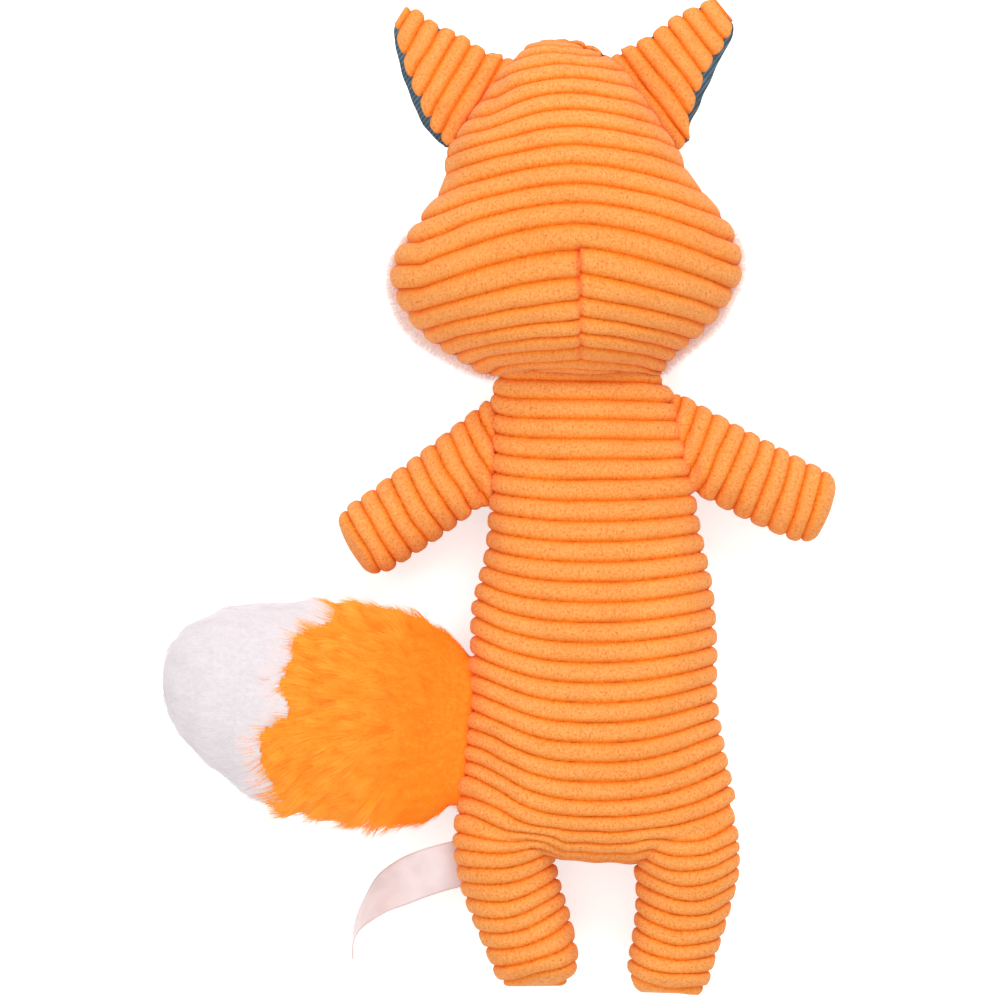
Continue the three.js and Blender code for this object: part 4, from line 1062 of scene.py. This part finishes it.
def stuffing(node):
    """The loose filling of a head, limb, tail or torso, a hair inside its skin."""
    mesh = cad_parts[node].data.copy()
    work = bmesh.new()
    work.from_mesh(mesh)
    bmesh.ops.remove_doubles(work, verts=work.verts, dist=0.01 * MM)
    work.to_mesh(mesh)
    work.free()
    piece = bpy.data.objects.new(node.replace("filling", "stuffing"), mesh)
    bpy.context.scene.collection.objects.link(piece)
    even = piece.modifiers.new("even", "REMESH")
    even.mode, even.voxel_size, even.use_smooth_shade = "VOXEL", 2.5 * MM, True
    soft = piece.modifiers.new("soft", "SMOOTH")
    soft.factor, soft.iterations = 0.5, 6
    slack = piece.modifiers.new("slack", "DISPLACE")
    slack.mid_level, slack.strength = 0.0, -0.8 * MM
    return baked(piece)


def thin_neck(points):
    """The head's stuffing thins towards the neck, where the skin is drawn flat when the head nods."""
    y, z = points[:, 1], points[:, 2]
    return z - (z - SEAM) * 0.45 * ease(y, 72, 50)


# Assembly

def dress(piece, finish, nodes=(), body=None, bend=None):
    """Gives a piece its finish and hides the nodes it stands for; a piece given a bend has its place worked
    into its mesh, and any other goes with its body.
    """
    if finish:
        piece.data.materials.clear()
        piece.data.materials.append(finish)
    if bend:
        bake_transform(piece)
    else:
        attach(piece, body)
    if nodes:
        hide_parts(*nodes)
    return piece


def seam_bend(inner, outer, values, start, end, height=SEAM):
    """The bodies and the stretch, measured outwards from its root, that a limb's skin bends over."""
    (x, y), out = values["origin"], values["outward"]
    return inner, outer, *((x + out[0] * at, y + out[1] * at, height) for at in (start, end))


bends = {}
for side, word in SIDES.items():
    dress(make_torso(side), corduroy, [f"torso_{word}_panel"], "torso")
    for name in ("left", "right"):
        for part, make, limbs, stretch in (
                ("arm", make_arm, ARMS, (-2, 12)), ("leg", make_leg, LEGS, (5.3, 22.3))):
            body = f"{part}_{name}"
            bends[body] = seam_bend("torso", body, limbs[name], *stretch)
            dress(make(name, side), corduroy, [f"{body}_{word}_panel"],
                  bend=bends[body])
        bend = seam_bend("head", f"ear_{name}", EARS[name], -2, 8, HEAD_SEAM)
        if side == UP:
            dress(make_ear(name, UP), corduroy, [f"ear_{name}_back"], bend=bend)
        else:
            dress(make_ear(name, DOWN), navy, [f"ear_{name}_lining"], bend=bend)

neck_bend = ("torso", "head", (NECK[0], 40, SEAM), (NECK[0], 58, SEAM))
dress(make_head_back(), corduroy, ["head_back_panel"], bend=neck_bend)
forehead, cheek_left, cheek_right = make_face()
dress(forehead, corduroy, ["forehead_panel"], "head")

strand = strand_template("long_strand", 0.0075)
tuft = strand_template("short_strand", 0.02)
fur = fur_tree()
for seed, cheek in enumerate((cheek_left, cheek_right), 3):
    name = cheek.name.removesuffix("_skin")
    grown = grow_fur(f"{name}_pile", cheek, "with_walls", Strand=tuft, Finish=cheek_pile,
                     Density=3.6 / MM ** 2, Length=3.4 * MM, Lean=0.6, Ruffle=0.25, Seed=seed)
    dress(grown, None, bend=neck_bend)
    dress(cheek, cheek_backing, [name], bend=neck_bend)

x, y = TAIL["origin"]
tail_bend = ("torso", "tail", (x + 3, y, SEAM), (x - 14, y, SEAM))
for side, word in SIDES.items():
    body, tip = make_tail(side)
    grown = grow_fur(f"tail_{word}_pile", body, Strand=strand, Finish=orange_pile,
                     Density=3.0 / MM ** 2, Length=10.0 * MM, Lean=0.92, Ruffle=0.8, Seed=10 + side)
    dress(grown, None, bend=tail_bend)
    dress(body, orange_backing, [f"tail_{word}_fur"], bend=tail_bend)
    grown = grow_fur(f"tail_tip_{word}_pile", tip, Strand=strand, Finish=white_pile,
                     Density=3.4 / MM ** 2, Length=8.5 * MM, Lean=0.94, Ruffle=0.3, Seed=20 + side)
    dress(grown, None, body="tail")
    dress(tip, white_backing, [f"tail_tip_{word}_fur"], "tail")
bpy.data.objects.remove(strand)
bpy.data.objects.remove(tuft)

bends.update(head=neck_bend, tail=tail_bend)
for name, bend in bends.items():
    loose = stuffing(f"{name}_filling")
    if name == "head":
        reshaped(loose, thin_neck)
    dress(loose, filling, [f"{name}_filling"], bend=bend)
dress(stuffing("torso_filling"), filling, ["torso_filling"], "torso")


# Face

def pad(name, size, centre, rings, squareness, relief=None):
    """A small stuffed pad, between a ball and a box; relief tells how much it stands out where."""
    theta = np.linspace(0, np.pi, rings + 1)[:, None]
    phi = np.linspace(0, 2 * np.pi, 2 * rings, endpoint=False)[None, :]
    power = 2 / squareness
    ring = np.sin(theta) ** power
    x = ring * np.sign(np.cos(phi)) * np.abs(np.cos(phi)) ** power
    y = ring * np.sign(np.sin(phi)) * np.abs(np.sin(phi)) ** power
    z = np.cos(theta) + 0 * phi
    unit = np.stack([x, y, z], axis=2)
    grow = 1 + (relief(unit) if relief else 0 * z)
    points = (unit * grow[..., None] * np.array(size) / 2 + np.array(centre))[1:-1]
    rows, columns = points.shape[:2]
    index = np.arange(rows * columns).reshape(rows, columns)
    after = np.roll(index, -1, axis=1)
    faces = np.stack([index[:-1], index[1:], after[1:], after[:-1]], axis=2).reshape(-1, 4).tolist()
    top, bottom = rows * columns, rows * columns + 1
    ends = np.array([[0, 0, size[2] / 2], [0, 0, -size[2] / 2]]) + np.array(centre)
    faces += [[index[0, k], after[0, k], top] for k in range(columns)]
    faces += [[after[-1, k], index[-1, k], bottom] for k in range(columns)]
    return mesh_piece(name, np.vstack([points.reshape(-1, 3), ends]), faces)


muzzle = pad("muzzle", (46, 36, 15.5), (22, 72.8, 10.2), 60, 2.3,
             lambda p: 0.02 * drift(p[..., 0] * 20, p[..., 1] * 20, 14, 81)
             - 0.03 * np.exp(-(p[..., 0] / 0.05) ** 2) * (p[..., 1] < 0.25))
reshaped(muzzle, lambda points: np.maximum(points[:, 2], 1.6))
dress(muzzle, plush, ["muzzle_panel"], "head")

lo, hi = (np.array(corner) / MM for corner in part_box("nose"))
nose = pad("nose_pad", hi - lo + 0.4, (lo + hi) / 2, 36, 2.5,
           lambda p: -0.12 * (p[..., 1] < 0) * np.abs(p[..., 0]) ** 2)
dress(nose, black, ["nose"], "head")
for name in ("left", "right"):
    lo, hi = (np.array(corner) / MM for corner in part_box(f"eye_{name}"))
    patch = pad(
        f"eye_{name}_stitched", (hi - lo) * (1, 1, 1.25) + 0.6, (lo + hi) / 2 + (0, 0, 0.3), 30, 2.1)
    dress(patch, black, [f"eye_{name}"], "head")

label, label_length = make_label()
dress(label, satin, ["satin_label"], "label")

for name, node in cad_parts.items():
    for word, finish in (("filling", filling), ("squeaker", plastic)):
        if word in name:
            node.data.materials.clear()
            node.data.materials.append(finish)


# Studio

def seen_directly(node):
    """1 where the camera sees it, also in a gloss or through something, and 0 where it only lights."""
    rays = node("LightPath").node.outputs
    seen = node("Math", rays["Is Camera Ray"], rays["Is Glossy Ray"], operation="ADD")
    return node("Math", seen, rays["Is Transmission Ray"], operation="ADD", use_clamp=True)


def studio():
    scene = bpy.context.scene
    scene.view_settings.view_transform = "Standard"
    floor = mesh_piece("floor", [(-3000, -3000, 0), (3000, -3000, 0), (3000, 3000, 0), (-3000, 3000, 0)],
                       [[0, 1, 2, 3]])
    paper = bpy.data.materials.new("white_paper_floor")
    paper.use_nodes = True
    node, nodes = partial(add, paper.node_tree), paper.node_tree.nodes
    shader = nodes["Principled BSDF"]
    plug(shader, {"Base Color": (0.86, 0.86, 0.86, 1), "Roughness": 0.9, "Specular IOR Level": 0.1})
    glow = node("Emission", Strength=node("Math", seen_directly(node), 0.6, operation="MULTIPLY"))
    plug(nodes["Material Output"], {"Surface": node("AddShader", shader.outputs[0], glow)})
    floor.data.materials.append(paper)

    world = bpy.data.worlds.new("studio")
    scene.world = world
    world.use_nodes = True
    world.node_tree.nodes.clear()
    node = partial(add, world.node_tree)
    sky = node("Background", (1, 1, 1, 1), 0.73)
    paper_white = node("Background", (1, 1, 1, 1), 1.0)
    node("OutputWorld", node("MixShader", seen_directly(node), sky, paper_white))

    for name, spot, size, power in (
            ("key", (0.6, 1.3, 1.6), 1.0, 17), ("fill", (-1.3, 0.2, 1.5), 1.4, 7),
            ("front", (0.2, -1.4, 1.4), 1.3, 3.5)):
        lamp = bpy.data.lights.new(name, "AREA")
        lamp.shape, lamp.size, lamp.energy = "DISK", size, power
        holder = bpy.data.objects.new(name, lamp)
        holder.location = spot
        holder.rotation_euler = (-Vector(spot)).to_track_quat("-Z", "Y").to_euler()
        scene.collection.objects.link(holder)

    lens = bpy.data.cameras.new("camera")
    camera = bpy.data.objects.new("camera", lens)
    camera_height, toy_middle, photo_width = 6.0, 0.03, 1000 / 3 * MM
    lens.sensor_width = 36
    lens.lens = 36 * (camera_height - toy_middle) / photo_width
    lens.clip_end = 20
    camera.location = (0, -0.0005, camera_height)
    scene.collection.objects.link(camera)
    scene.camera = camera


studio()
